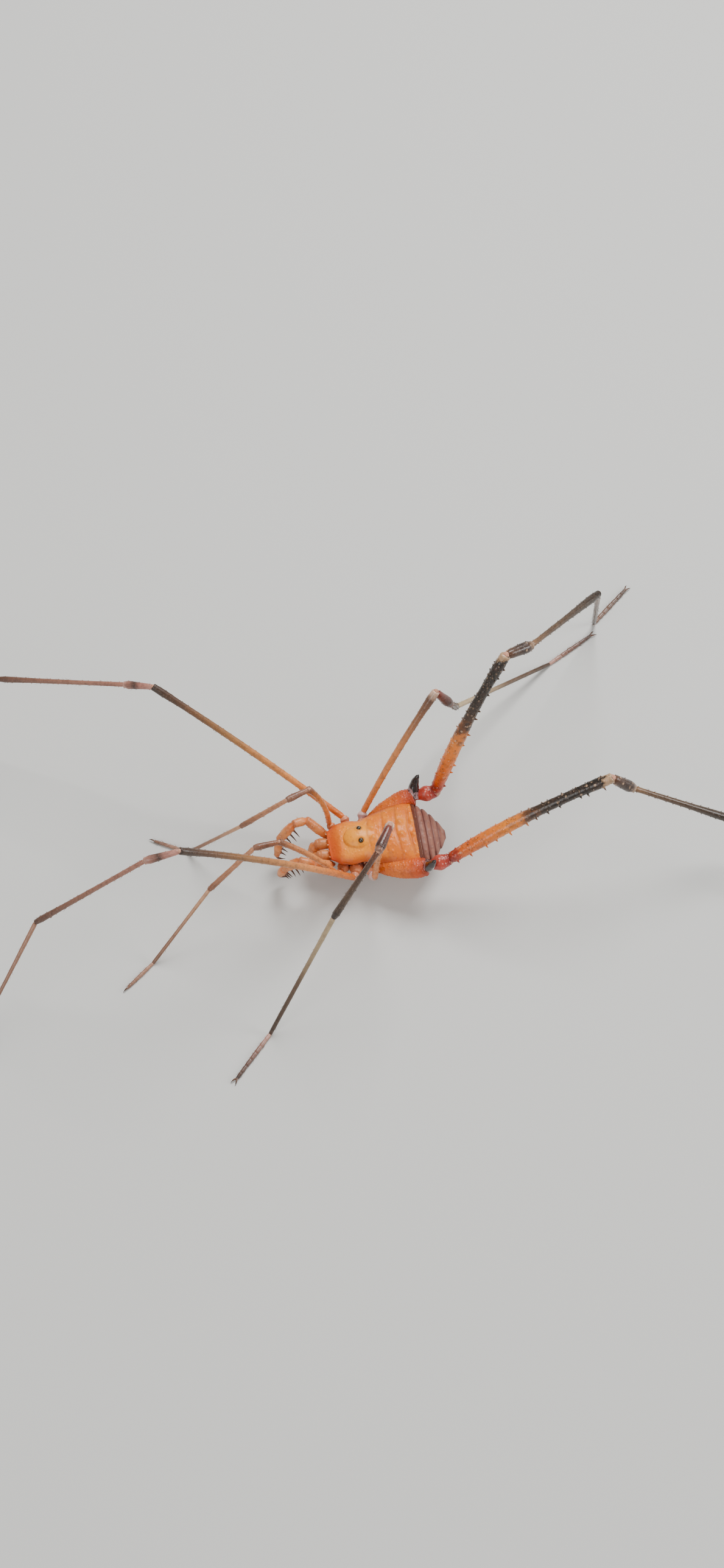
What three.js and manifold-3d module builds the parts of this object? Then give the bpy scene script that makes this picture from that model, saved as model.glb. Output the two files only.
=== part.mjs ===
// A life-size harvestman (order Opiliones, suborder Laniatores) in a walking stance, in millimetres.
// The head points along -Y, the animal's left side is +X, and the claws rest on the plane z = 0.
import * as THREE from "three";
import { mergeVertices } from "three/addons/utils/BufferGeometryUtils.js";
import Module from "manifold-3d";

const wasm = await Module();
wasm.setup();

// Driving sizes, in millimetres and degrees
const JOINT_GAP = 0.1; // clear slit between two pieces of the outer skeleton
const EYE_GAP = 0.05;
const SMALLEST_EDGE = 0.004; // finer creases are closed up
const SHIELD_FRONT = -3.4; // y of the shield's front edge
const SHIELD_REAR = 3.3; // y of its rear edge
const SHIELD_RIM = 2.9; // z of the flat underside of the shield
const BELLY_LOW = 1.55; // z of the lowest point of the body
const FOOT_RADIUS = 0.22; // half the thickness of the last leg piece
const SOLE_LEVEL = 0.1; // how much of the foot is cut off flat, so that it rests on z = 0
const SIDES = { left: 1, right: -1 };

const DEG = Math.PI / 180;
const vec = (x, y, z) => new THREE.Vector3(x, y, z);
const lerp = THREE.MathUtils.lerp;

// Value at x of the smooth line through the points [x, value], which are in order of x.
function along(points, x) {
  const last = points.length - 1;
  if (x <= points[0][0]) return points[0][1];
  if (x >= points[last][0]) return points[last][1];
  const i = points.findIndex((p) => p[0] > x) - 1;
  const t = (x - points[i][0]) / (points[i + 1][0] - points[i][0]);
  return lerp(points[i][1], points[i + 1][1], THREE.MathUtils.smoothstep(t, 0, 1) * 0.5 + t * 0.5);
}

// Solids

function solidOf(geometry) {
  const bare = geometry.clone();
  for (const name of Object.keys(bare.attributes)) if (name !== "position") bare.deleteAttribute(name);
  const merged = mergeVertices(bare, 1e-4);
  const make = (triVerts) =>
    new wasm.Manifold(
      new wasm.Mesh({ numProp: 3, vertProperties: merged.attributes.position.array, triVerts }),
    );
  const faces = new Uint32Array(merged.index.array);
  const made = make(faces);
  if (made.volume() > 0) return made;
  for (let i = 0; i < faces.length; i += 3) [faces[i + 1], faces[i + 2]] = [faces[i + 2], faces[i + 1]];
  return make(faces);
}

// Joins the solids and keeps only the largest closed surface.
function fuse(solids) {
  const joined = solids.reduce((a, b) => a.add(b));
  const bodies = joined.decompose();
  return bodies.reduce((a, b) => (b.volume() > a.volume() ? b : a));
}

function geometryOf(solid) {
  const mesh = solid.simplify(SMALLEST_EDGE).getMesh();
  const geometry = new THREE.BufferGeometry();
  geometry.setAttribute("position", new THREE.BufferAttribute(new Float32Array(mesh.vertProperties), 3));
  geometry.setIndex(new THREE.BufferAttribute(new Uint32Array(mesh.triVerts), 1));
  const flat = geometry.toNonIndexed();
  flat.computeVertexNormals();
  return flat;
}

// A closed skin over rings of the same number of points, with a fan at each end.
function loft(rings) {
  const count = rings[0].length;
  const points = rings.flat();
  const middle = (ring) => ring.reduce((a, p) => a.add(p), vec(0, 0, 0)).divideScalar(count);
  const first = points.push(middle(rings[0])) - 1;
  const last = points.push(middle(rings[rings.length - 1])) - 1;
  const faces = [];
  for (let j = 0; j < count; j++) {
    const k = (j + 1) % count;
    const end = (rings.length - 1) * count;
    faces.push(first, k, j, last, end + j, end + k);
    for (let i = 0; i < rings.length - 1; i++) {
      const a = i * count;
      const b = a + count;
      faces.push(a + j, a + k, b + k, a + j, b + k, b + j);
    }
  }
  const geometry = new THREE.BufferGeometry().setFromPoints(points);
  geometry.setIndex(faces);
  return solidOf(geometry);
}

// A round solid from base to tip whose radius follows the profile [share of the length, radius].
// Its middle is moved off the straight line by the vector bow.
function limb(base, tip, profile, { sides = 8, bow = null } = {}) {
  const length = base.distanceTo(tip);
  const outline = profile.map(([t, r]) => new THREE.Vector2(r, t * length));
  outline.unshift(new THREE.Vector2(0, outline[0].y));
  outline.push(new THREE.Vector2(0, outline[outline.length - 1].y));
  const geometry = new THREE.LatheGeometry(outline, sides);
  const turn = new THREE.Quaternion().setFromUnitVectors(vec(0, 1, 0), tip.clone().sub(base).normalize());
  const place = geometry.attributes.position;
  const p = vec(0, 0, 0);
  for (let i = 0; i < place.count; i++) {
    p.fromBufferAttribute(place, i);
    const t = p.y / length;
    p.applyQuaternion(turn).add(base);
    if (bow) p.addScaledVector(bow, Math.max(0, 4 * t * (1 - t)));
    place.setXYZ(i, p.x, p.y, p.z);
  }
  return solidOf(geometry);
}

// A pointed spine or tubercle of few sides, with its root sunk in by the share sunk of its height.
function spine(root, direction, height, radius, { sides = 5, sunk = 0.35 } = {}) {
  const way = direction.clone().normalize();
  const base = root.clone().addScaledVector(way, -height * sunk);
  const tip = root.clone().addScaledVector(way, height);
  return limb(base, tip, [[0, radius], [1, radius * 0.12]], { sides });
}

function ellipsoid(centre, radii, columns = 16, rows = 10) {
  const geometry = new THREE.SphereGeometry(1, columns, rows);
  geometry.rotateX(Math.PI / 2);
  geometry.scale(...radii);
  geometry.translate(...centre);
  return solidOf(geometry);
}

// Cuts away what lies past the plane through point on the side that normal points to, and gap more.
function trim(solid, point, normal, gap = JOINT_GAP / 2) {
  const back = normal.clone().negate().normalize();
  return solid.trimByPlane([back.x, back.y, back.z], back.dot(point) + gap);
}

// The nodes

const animal = new THREE.Group();
const COLOURS = {
  shield: [0xf08a24, 0.42],
  eye: [0x17110c, 0.12],
  tergite: [0x94636a, 0.5],
  belly: [0xd97a3a, 0.5],
  coxa: [0xe8842c, 0.42],
  trochanter: [0xd0513a, 0.4],
  femur: [0xe2914d, 0.45],
  hind_femur: [0xa35a28, 0.4],
  knee: [0x4a2f26, 0.4],
  shin: [0x4e3a2a, 0.45],
  foot: [0x6a5038, 0.5],
  mouth: [0xe9a468, 0.45],
};

// The solid enlarged about the middle of its box, by margin on every side.
function grown(solid, margin) {
  const { min, max } = solid.boundingBox();
  const middle = min.map((v, i) => (v + max[i]) / 2);
  const scale = min.map((v, i) => 1 + (2 * margin) / (max[i] - v));
  return solid.translate(middle.map((v) => -v)).scale(scale).translate(middle);
}

const placed = new Map();

function cutBack(whole, others) {
  const margin = JOINT_GAP * 1.4;
  return others.reduce((left, other) => left.subtract(grown(placed.get(other), margin)), whole);
}

// Adds a node, cut back so that it keeps the joint gap to the named nodes placed before it.
// A right node that is mirrored is its left twin turned over.
function addNode(name, whole, colour, clearOf = [], mirrored = false) {
  const [color, roughness] = COLOURS[colour];
  const twin = name.includes("right") ? placed.get(name.replace("right", "left")) : null;
  const solid = fuse([twin && mirrored ? twin.mirror([1, 0, 0]) : cutBack(whole, clearOf)]);
  placed.set(name, solid);
  const mesh = new THREE.Mesh(
    geometryOf(solid),
    new THREE.MeshStandardMaterial({ color, roughness, metalness: 0 }),
  );
  mesh.name = name;
  animal.add(mesh);
}

// Shield: the one-piece plate over head and back. Outlines are [y, value].
const SHIELD_HALF_WIDTH = [
  [-3.4, 1.25], [-2.7, 1.72], [-1.9, 1.86], [-1.0, 1.72],
  [0.0, 2.1], [1.4, 2.6], [2.6, 2.9], [3.3, 2.8],
];
const SHIELD_TOP = [
  [-3.4, 3.35], [-2.6, 3.75], [-1.2, 3.95], [0.4, 4.25],
  [1.8, 4.35], [2.8, 4.15], [3.3, 3.85],
];
const GROOVES = [-0.55, 0.55, 1.55, 2.5]; // y of the furrows between the back's areas
const GROOVE_DEPTH = 0.1;
const GROOVE_HALF = 0.16; // half the width of a furrow
const MOUND = { centre: [0, -1.2, 3.7], radii: [0.95, 1.15, 0.62] }; // the eye mound
const EYE = { centre: [0.52, -1.12, 4.18], radius: 0.2 };

function shieldHeight(x, y) {
  const share = Math.min(1, Math.abs(x) / along(SHIELD_HALF_WIDTH, y));
  const crown = along(SHIELD_TOP, y) - SHIELD_RIM - 0.3;
  const dip = GROOVES.reduce((d, g) => d + Math.max(0, 1 - Math.abs(y - g) / GROOVE_HALF), 0);
  const arch = Math.pow(1 - Math.pow(share, 2.6), 0.62);
  return SHIELD_RIM + 0.3 + crown * arch - dip * GROOVE_DEPTH * (1 - share);
}

function shieldBody() {
  const stations = [];
  for (let y = SHIELD_FRONT; y < SHIELD_REAR - 0.01; y += 0.6) stations.push(y);
  stations.push(SHIELD_REAR);
  for (const g of GROOVES) stations.push(g - GROOVE_HALF, g, g + GROOVE_HALF);
  stations.sort((a, b) => a - b);
  const spaced = stations.filter((y, i) => i === 0 || y - stations[i - 1] > 0.07);
  const columns = 10;
  return loft(
    spaced.map((y) => {
      const half = along(SHIELD_HALF_WIDTH, y);
      const top = [];
      for (let i = 0; i <= columns; i++) {
        const x = half * Math.sin(((i / columns) * 2 - 1) * 90 * DEG);
        top.push(vec(x, y, shieldHeight(x, y)));
      }
      return [vec(-half * 0.97, y, SHIELD_RIM), ...top, vec(half * 0.97, y, SHIELD_RIM)];
    }),
  );
}

// Rounded grains in rows over the back, larger in pairs along the middle.
function shieldGrains() {
  const rows = [-0.1, 1.05, 2.02, 2.95];
  const grains = [];
  rows.forEach((y, row) => {
    const half = along(SHIELD_HALF_WIDTH, y) * 0.86;
    const count = 4 + row;
    for (let i = 0; i < count; i++) {
      const x = lerp(-half, half, (i + 0.5) / count);
      grains.push(spine(vec(x, y, shieldHeight(x, y)), vec(x * 0.12, 0, 1), 0.13, 0.12));
    }
    for (const side of [-1, 1]) {
      const x = side * (0.42 + row * 0.05);
      grains.push(spine(vec(x, y - 0.05, shieldHeight(x, y)), vec(0, 0.2, 1), 0.26, 0.16));
    }
  });
  for (let i = 0; i < 5; i++) {
    const x = lerp(-1.0, 1.0, i / 4);
    grains.push(spine(vec(x, SHIELD_FRONT + 0.12, 3.25), vec(0, -1, 0.5), 0.24, 0.1));
  }
  return grains;
}

function eyeAt(side) {
  return [EYE.centre[0] * side, EYE.centre[1], EYE.centre[2]];
}

let shield = fuse([shieldBody(), ellipsoid(MOUND.centre, MOUND.radii, 12, 8), ...shieldGrains()]);
for (const [name, side] of Object.entries(SIDES)) {
  const socket = EYE.radius + EYE_GAP;
  shield = shield.subtract(ellipsoid(eyeAt(side), [socket, socket, socket], 10, 7));
  addNode("eye_" + name, ellipsoid(eyeAt(side), [EYE.radius, EYE.radius, EYE.radius], 10, 7), "eye");
}
addNode("scutum", fuse([shield]), "shield");

// Belly: the breast plate with the first three pairs of hips fused into it.
const HIPS = {
  1: { foot: [1.75, -2.75, 2.3], root: [0.35, -1.9, 2.15], radius: 0.5 },
  2: { foot: [2.1, -1.75, 2.3], root: [0.35, -1.2, 2.1], radius: 0.58 },
  3: { foot: [2.25, -0.65, 2.3], root: [0.35, -0.4, 2.1], radius: 0.52 },
};

const BELLY_RINGS = [ // y, half-width, lowest z
  [-2.7, 0.5, 2.0],
  [-2.2, 0.95, 1.75],
  [-1.2, 1.2, 1.6],
  [0, 1.15, BELLY_LOW],
  [1.2, 1.1, BELLY_LOW],
  [2.4, 1.0, 1.65],
  [3.2, 0.9, 1.8],
];

function belly() {
  const high = SHIELD_RIM - JOINT_GAP;
  const core = BELLY_RINGS.map(([y, half, low]) =>
    Array.from({ length: 12 }, (_, i) => {
      const a = (i / 12) * 360 * DEG;
      return vec(half * Math.cos(a), y, (high + low) / 2 + (Math.sin(a) * (high - low)) / 2);
    }),
  );
  const hips = Object.values(SIDES).flatMap((side) =>
    Object.values(HIPS).map(({ foot, root, radius }) => {
      const from = vec(root[0] * side, root[1], root[2]);
      const to = vec(foot[0] * side, foot[1], foot[2]);
      const outline = [[0, radius], [0.5, radius], [0.85, radius * 0.9], [1, radius * 0.72]];
      return limb(from, to, outline, { sides: 9 });
    }),
  );
  return fuse([loft(core), ...hips]);
}

addNode("belly", belly(), "belly", ["scutum"]);

// Hind body: three free rings and the anal plate, sloping down behind the shield.
const RINGS = ["free_tergite_1", "free_tergite_2", "free_tergite_3", "anal_plate"];
const RING_Y = [SHIELD_REAR + JOINT_GAP, 3.85, 4.35, 4.8, 5.35]; // where each ring begins and ends
const RING_HALF_WIDTH = [[3.3, 2.7], [3.9, 2.3], [4.4, 1.8], [4.85, 1.2], [5.35, 0.42]];
const RING_TOP = [[3.3, 3.75], [3.9, 3.62], [4.4, 3.4], [4.85, 3.1], [5.35, 2.72]];
const RING_LOW = [[3.3, 1.75], [3.9, 1.8], [4.4, 1.9], [4.85, 2.05], [5.35, 2.35]];

function ringSection(y, swell) {
  const half = along(RING_HALF_WIDTH, y) * swell;
  const top = along(RING_TOP, y);
  const low = along(RING_LOW, y);
  const middle = (top + low) / 2;
  const section = [];
  for (let i = 0; i < 16; i++) {
    const a = (i / 16) * 360 * DEG;
    const z = middle + (Math.sin(a) * (top - low) * swell) / 2;
    section.push(vec(half * Math.cos(a), y, z));
  }
  return section;
}

RINGS.forEach((name, i) => {
  const from = RING_Y[i] + (i ? JOINT_GAP / 2 : 0);
  const to = RING_Y[i + 1] - (i < RINGS.length - 1 ? JOINT_GAP / 2 : 0);
  const shares = [0, 0.25, 0.6, 0.9, 1];
  const swell = [0.97, 1.0, 1.02, 1.03, 0.98];
  const ring = loft(shares.map((s, k) => ringSection(lerp(from, to, s), swell[k])));
  const bumps = [];
  const count = 7 - i * 2;
  for (let k = 0; k < count; k++) {
    const a = lerp(50, 130, count > 1 ? k / (count - 1) : 0.5) * DEG;
    const y = lerp(from, to, 0.62);
    const half = along(RING_HALF_WIDTH, y) * 1.02;
    const top = along(RING_TOP, y);
    const low = along(RING_LOW, y);
    const at = vec(half * Math.cos(a), y, (top + low) / 2 + (Math.sin(a) * (top - low) * 1.02) / 2);
    bumps.push(spine(at, vec(Math.cos(a), 0.4, Math.sin(a)), 0.14, 0.09));
  }
  addNode(name, fuse([ring, ...bumps]), "tergite", ["scutum", "belly"]);
});

// Hind hip: the big last coxa that flanks the shield and ends in a curved black spur.
const HIND_HIP = {
  root: [1.75, -0.2, 2.5],
  end: [3.1, 3.6, 3.5],
  outline: [[0, 0.42], [0.12, 0.58], [0.4, 0.7], [0.75, 0.76], [0.95, 0.66], [1, 0.5]],
  bow: 0.3,
  spur: [3.15, 3.45, 3.85],
  spurTip: [3.75, 3.95, 5.4],
  spurOutline: [[0, 0.52], [0.3, 0.44], [0.6, 0.31], [0.86, 0.18], [1, 0.05]],
};

function hindHip(side) {
  const mirror = ([x, y, z]) => vec(x * side, y, z);
  const body = limb(mirror(HIND_HIP.root), mirror(HIND_HIP.end), HIND_HIP.outline, {
    sides: 12,
    bow: vec(HIND_HIP.bow * side, 0, 0),
  });
  const base = mirror(HIND_HIP.spur).add(vec(-0.12 * side, 0, -0.4));
  const shaft = limb(base, mirror(HIND_HIP.spurTip), HIND_HIP.spurOutline, {
    sides: 8,
    bow: vec(0.2 * side, -0.1, 0),
  });
  const grains = [];
  for (let i = 0; i < 7; i++) {
    const t = lerp(0.25, 0.88, i / 6);
    const middle = mirror(HIND_HIP.root).lerp(mirror(HIND_HIP.end), t);
    const out = vec(side, 0, 0.45).normalize();
    middle.x += HIND_HIP.bow * 4 * t * (1 - t) * side;
    middle.addScaledVector(out, along(HIND_HIP.outline, t) * 0.95);
    grains.push(spine(middle, out, 0.16, 0.11, { sunk: 1.2 }));
  }
  return fuse([body, shaft, ...grains]);
}

// Jaws: a basal piece under the front edge and a drooping hand with two fingers.
const JAW = {
  base: [[0, 0.3], [0.35, 0.4], [0.8, 0.44], [1, 0.36]],
  palm: [[0, 0.3], [0.3, 0.46], [0.75, 0.42], [1, 0.26]],
  finger: [[0, 0.2], [0.6, 0.14], [1, 0.04]],
};

function jaw(side) {
  const from = vec(0.52 * side, -2.95, 2.55);
  const elbow = vec(0.5 * side, -4.35, 2.75);
  const tip = vec(0.36 * side, -4.85, 1.15);
  const first = elbow.clone().sub(from).normalize();
  const bend = tip.clone().sub(elbow).normalize().add(first).normalize();
  const point = (t) => elbow.clone().lerp(tip, t);
  const base = limb(from, elbow.clone().add(vec(0, -0.3, 0)), JAW.base, { sides: 10 });
  const palm = limb(point(-0.12), point(0.62), JAW.palm, { sides: 10 });
  const fingers = [0.16, -0.16].map((offset, i) => {
    const root = point(0.42).add(vec(offset * side, 0, 0));
    const end = tip.clone().add(vec(offset * 0.55 * side, i ? 0.06 : -0.04, 0));
    return limb(root, end, JAW.finger, { sides: 7, bow: vec(offset * 0.5 * side, 0, 0) });
  });
  return {
    base: trim(base, elbow, bend),
    hand: trim(fuse([palm, ...fingers]), elbow, bend.clone().negate()),
  };
}

// A jointed limb: each piece is cut at the plane that halves the bend at each of its joints.
function jointedPieces(joints, pieces) {
  const ways = joints.slice(1).map((p, i) => p.clone().sub(joints[i]).normalize());
  return pieces.map((make, i) => {
    const before = i === 0 ? null : ways[i - 1].clone().add(ways[i]).normalize();
    const after = i === pieces.length - 1 ? null : ways[i].clone().add(ways[i + 1]).normalize();
    let solid = make(joints[i], joints[i + 1], ways[i], Boolean(before), Boolean(after));
    if (before) solid = trim(solid, joints[i], before.clone().negate());
    if (after) solid = trim(solid, joints[i + 1], after);
    return fuse([solid]);
  });
}

// A leg piece that runs on past its joints by its own end radius, ready to be cut there.
function legPiece(profile, { sides = 8, bow = 0, spines = null } = {}) {
  return (from, to, way, runBefore, runAfter) => {
    const length = from.distanceTo(to);
    const first = profile[0];
    const last = profile[profile.length - 1];
    const before = runBefore ? first[1] * 1.2 : 0;
    const after = runAfter ? last[1] * 1.2 : 0;
    const whole = length + before + after;
    const stretched = profile.map(([t, r]) => [(before + t * length) / whole, r]);
    if (before) stretched.unshift([0, first[1]]);
    if (after) stretched.push([1, last[1]]);
    const up = vec(0, 0, 1).addScaledVector(way, -way.z).normalize();
    const start = from.clone().addScaledVector(way, -before);
    const end = to.clone().addScaledVector(way, after);
    const solid = limb(start, end, stretched, { sides, bow: bow ? up.multiplyScalar(bow) : null });
    return spines ? fuse([solid, ...spines(from, to, way)]) : solid;
  };
}

// Rows of tubercles along a leg piece. Each row has its angle round the piece, from the top, in degrees.
function tubercleRows(rows, bow = 0) {
  return (from, to, way) => {
    const up = vec(0, 0, 1).addScaledVector(way, -way.z).normalize();
    const side = vec(0, 0, 0).crossVectors(way, up);
    return rows.flatMap(({ angle, count, height, radius, root }) => {
      const out = up.clone().multiplyScalar(Math.cos(angle * DEG));
      out.addScaledVector(side, Math.sin(angle * DEG));
      return Array.from({ length: count }, (_, i) => {
        const t = lerp(0.1, 0.92, i / (count - 1));
        const at = from.clone().lerp(to, t).addScaledVector(up, bow * 4 * t * (1 - t));
        at.addScaledVector(out, root);
        const tall = height * (0.75 + 0.5 * Math.abs(Math.sin(i * 2.3 + angle)));
        return spine(at, out.clone().addScaledVector(way, 0.25), tall, radius, { sunk: 0.8 });
      });
    });
  };
}

// Pedipalps: stout raptorial feelers in front, with long spines and a claw.
const PALP = {
  joints: [[1.2, -3.35, 2.4], [1.95, -4.85, 4.0], [1.6, -5.85, 4.3], [1.3, -7.0, 2.9], [0.85, -7.3, 1.4]],
  spines: [0.25, 0.5, 0.75],
};

function palpPiece(radii, spineLength) {
  return legPiece([[0, radii[0]], [0.5, radii[1]], [1, radii[2]]], {
    sides: 9,
    spines: spineLength
      ? (from, to, way) => {
          const side = vec(1, 0, 0).addScaledVector(way, -way.x).normalize();
          const down = vec(0, 0, 0).crossVectors(way, side).normalize();
          if (down.z > 0) down.negate();
          return [-1, 1].flatMap((edge) =>
            PALP.spines.map((t) => {
              const out = side.clone().multiplyScalar(edge * 0.8).add(down).normalize();
              const at = from.clone().lerp(to, t).addScaledVector(out, radii[1] * 0.8);
              return spine(at, out, spineLength, 0.11, { sides: 5, sunk: 0.4 });
            }),
          );
        }
      : null,
  });
}

function palp(side) {
  const joints = PALP.joints.map(([x, y, z]) => vec(x * side, y, z));
  const claw = (from, to, way, runBefore, runAfter) => {
    const body = palpPiece([0.28, 0.32, 0.22], 0.62)(from, to, way, runBefore, runAfter);
    const root = to.clone().addScaledVector(way, -0.3);
    const tip = to.clone().add(vec(-0.05 * side, 0.62, -0.62));
    const outline = [[0, 0.16], [0.5, 0.12], [1, 0.03]];
    return fuse([body, limb(root, tip, outline, { sides: 6, bow: vec(0, -0.22, -0.12) })]);
  };
  const ways = joints.slice(1).map((p, i) => p.clone().sub(joints[i]).normalize());
  const knee = ways[0].clone().add(ways[1]);
  const wrist = ways[2].clone().add(ways[3]);
  const thigh = palpPiece([0.26, 0.36, 0.32])(joints[0], joints[1], ways[0], false, true);
  const shin = fuse([
    palpPiece([0.3, 0.34, 0.3])(joints[1], joints[2], ways[1], true, false),
    ellipsoid(joints[2].toArray(), [0.3, 0.3, 0.3], 9, 7),
    palpPiece([0.28, 0.36, 0.3], 0.75)(joints[2], joints[3], ways[2], false, true),
  ]);
  const hand = claw(joints[3], joints[4], ways[3], true, false);
  return {
    femur: fuse([trim(thigh, joints[1], knee)]),
    tibia: fuse([trim(trim(shin, joints[1], knee.clone().negate()), joints[3], wrist)]),
    tarsus: fuse([trim(hand, joints[3], wrist.clone().negate())]),
  };
}

// Legs. Lengths are shared by a pair; the pose of each leg gives, for each piece, its yaw in degrees
// (0 straight out to the side, positive towards the rear) and its pitch above the horizontal.
const LEG_LENGTHS = {
  1: { femur: 6.9, patella: 1.9, tibia: 5.0, metatarsus: 7.2, tarsus: 2.8 },
  2: { femur: 17.6, patella: 2.6, tibia: 10.5, metatarsus: 12.0, tarsus: 4.6 },
  3: { femur: 11.8, patella: 2.3, tibia: 6.6, metatarsus: 11.0, tarsus: 4.4 },
  4: { femur: 13.8, patella: 2.5, tibia: 9.0, metatarsus: 14.0, tarsus: 4.2 },
};
const THIGH_START = {
  1: [2.25, -3.1, 2.5],
  2: [2.65, -1.95, 2.5],
  3: [2.85, -0.45, 2.5],
  4: [3.0, 5.1, 3.9],
};
const POSES = {
  leg_1_left: {
    femur: [-94, 52], patella: [-84, 0], tibia: [-74, -42],
    metatarsus: [-58], tarsus: [-50],
  },
  leg_1_right: {
    femur: [-118, 75], patella: [-115, 8], tibia: [-82, -46],
    metatarsus: [-66], tarsus: [-60],
  },
  leg_2_left: {
    femur: [-78, 42], patella: [-88, -12], tibia: [-90, -38],
    metatarsus: [-44], tarsus: [-34],
  },
  leg_2_right: {
    femur: [-58, 30], patella: [-59, -23], tibia: [-67, -16],
    metatarsus: [-44], tarsus: [-34],
  },
  leg_3_left: {
    femur: [14, 77], patella: [-30, 2], tibia: [-62, -53],
    metatarsus: [-53], tarsus: [-42],
  },
  leg_3_right: {
    femur: [58, 53], patella: [84, -60], tibia: [20, -58],
    metatarsus: [57], tarsus: [60],
  },
  leg_4_left: {
    femur: [95, 29], patella: [90, -46], tibia: [82, -31],
    metatarsus: [36], tarsus: [28],
  },
  leg_4_right: {
    femur: [60, 63], patella: [63, -17], tibia: [48, -18],
    metatarsus: [16], tarsus: [48],
  },
};
const LEG_COLOURS = { femur: "femur", patella: "knee", tibia: "shin", foot: "foot" };

// Thigh, knee and shin outlines, [share of the length, radius], for the thin legs and for the hind legs.
const THIN = {
  trochanter: [[0, 0.4], [0.5, 0.44], [1, 0.3]],
  femur: [[0, 0.28], [0.08, 0.26], [0.8, 0.27], [0.95, 0.32], [1, 0.28]],
  patella: [[0, 0.25], [0.4, 0.29], [0.85, 0.34], [1, 0.28]],
  tibia: [[0, 0.25], [0.5, 0.25], [0.93, 0.29], [1, 0.26]],
};
const HIND = {
  trochanter: [[0, 0.6], [0.5, 0.66], [1, 0.48]],
  femur: [[0, 0.46], [0.06, 0.55], [0.35, 0.6], [0.65, 0.5], [0.93, 0.52], [1, 0.42]],
  patella: [[0, 0.34], [0.25, 0.44], [0.8, 0.5], [1, 0.38]],
  tibia: [[0, 0.28], [0.1, 0.26], [0.6, 0.29], [0.94, 0.36], [1, 0.28]],
};
const HIND_FEMUR_BOW = 0.55; // how far the hind thigh arches up
const THIN_FEMUR_BOW = 0.35;

function wayOf(side, yaw, pitch) {
  const flat = Math.cos(pitch * DEG);
  return vec(side * flat * Math.cos(yaw * DEG), flat * Math.sin(yaw * DEG), Math.sin(pitch * DEG));
}

// The joints of a leg, from the hip's end to the tip of the tarsus. The metatarsus falls to the floor.
function legJoints(side, pair, pose) {
  const lengths = LEG_LENGTHS[pair];
  const [hip, start] = [pair === 4 ? HIND_HIP.end : HIPS[pair].foot, THIGH_START[pair]].map(
    ([x, y, z]) => vec(x * side, y, z),
  );
  const slit = start.clone().sub(hip).setLength(JOINT_GAP * 1.5);
  const joints = [hip.add(slit), start];
  for (const name of ["femur", "patella", "tibia"])
    joints.push(joints.at(-1).clone().addScaledVector(wayOf(side, ...pose[name]), lengths[name]));
  const rest = FOOT_RADIUS - SOLE_LEVEL;
  const fall = Math.asin((rest - joints.at(-1).z) / lengths.metatarsus) / DEG;
  const falling = wayOf(side, pose.metatarsus[0], fall);
  joints.push(joints.at(-1).clone().addScaledVector(falling, lengths.metatarsus));
  joints.push(joints.at(-1).clone().addScaledVector(wayOf(side, pose.tarsus[0], 0), lengths.tarsus));
  return joints;
}

// Metatarsus and tarsus in one, cut flat where they rest on the floor. The first two pairs of legs
// have one claw and the last two have two.
function foot(pair, tarsusEnd) {
  return (from, to, way, runBefore) => {
    const outline = [[0, 0.24], [0.05, 0.25], [0.9, 0.25], [1, FOOT_RADIUS]];
    const shank = legPiece(outline)(from, to, way, runBefore, false);
    const toe = tarsusEnd.clone().sub(to).normalize();
    const sole = [[0, FOOT_RADIUS], [0.3, 0.25], [0.8, FOOT_RADIUS], [1, 0.14]];
    const tarsus = limb(to.clone().addScaledVector(toe, -0.12), tarsusEnd, sole);
    const knuckle = ellipsoid([to.x, to.y, to.z], [0.25, 0.25, 0.25], 8, 6);
    const across = vec(-toe.y, toe.x, 0);
    const claws = (pair < 3 ? [0] : [-1, 1]).map((edge) => {
      const root = tarsusEnd.clone().addScaledVector(toe, -0.15);
      const tip = tarsusEnd.clone().addScaledVector(toe, 0.45).addScaledVector(across, edge * 0.2);
      const hook = [[0, 0.11], [0.6, 0.09], [1, 0.03]];
      return limb(root, tip.add(vec(0, 0, -0.02)), hook, { sides: 4, bow: vec(0, 0, 0.08) });
    });
    return trim(fuse([shank, knuckle, tarsus, ...claws]), vec(0, 0, 0), vec(0, 0, -1), 0);
  };
}

// The ways in which the hind hip is moved and cut out of the next piece, so that they don't touch.
const HIND_HIP_CLEARANCES = [[0, 0.15, 0], [0, 0.1, 0.12], [0, 0.1, -0.12], [0.12, 0.1, 0], [-0.12, 0.1, 0]];

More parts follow.
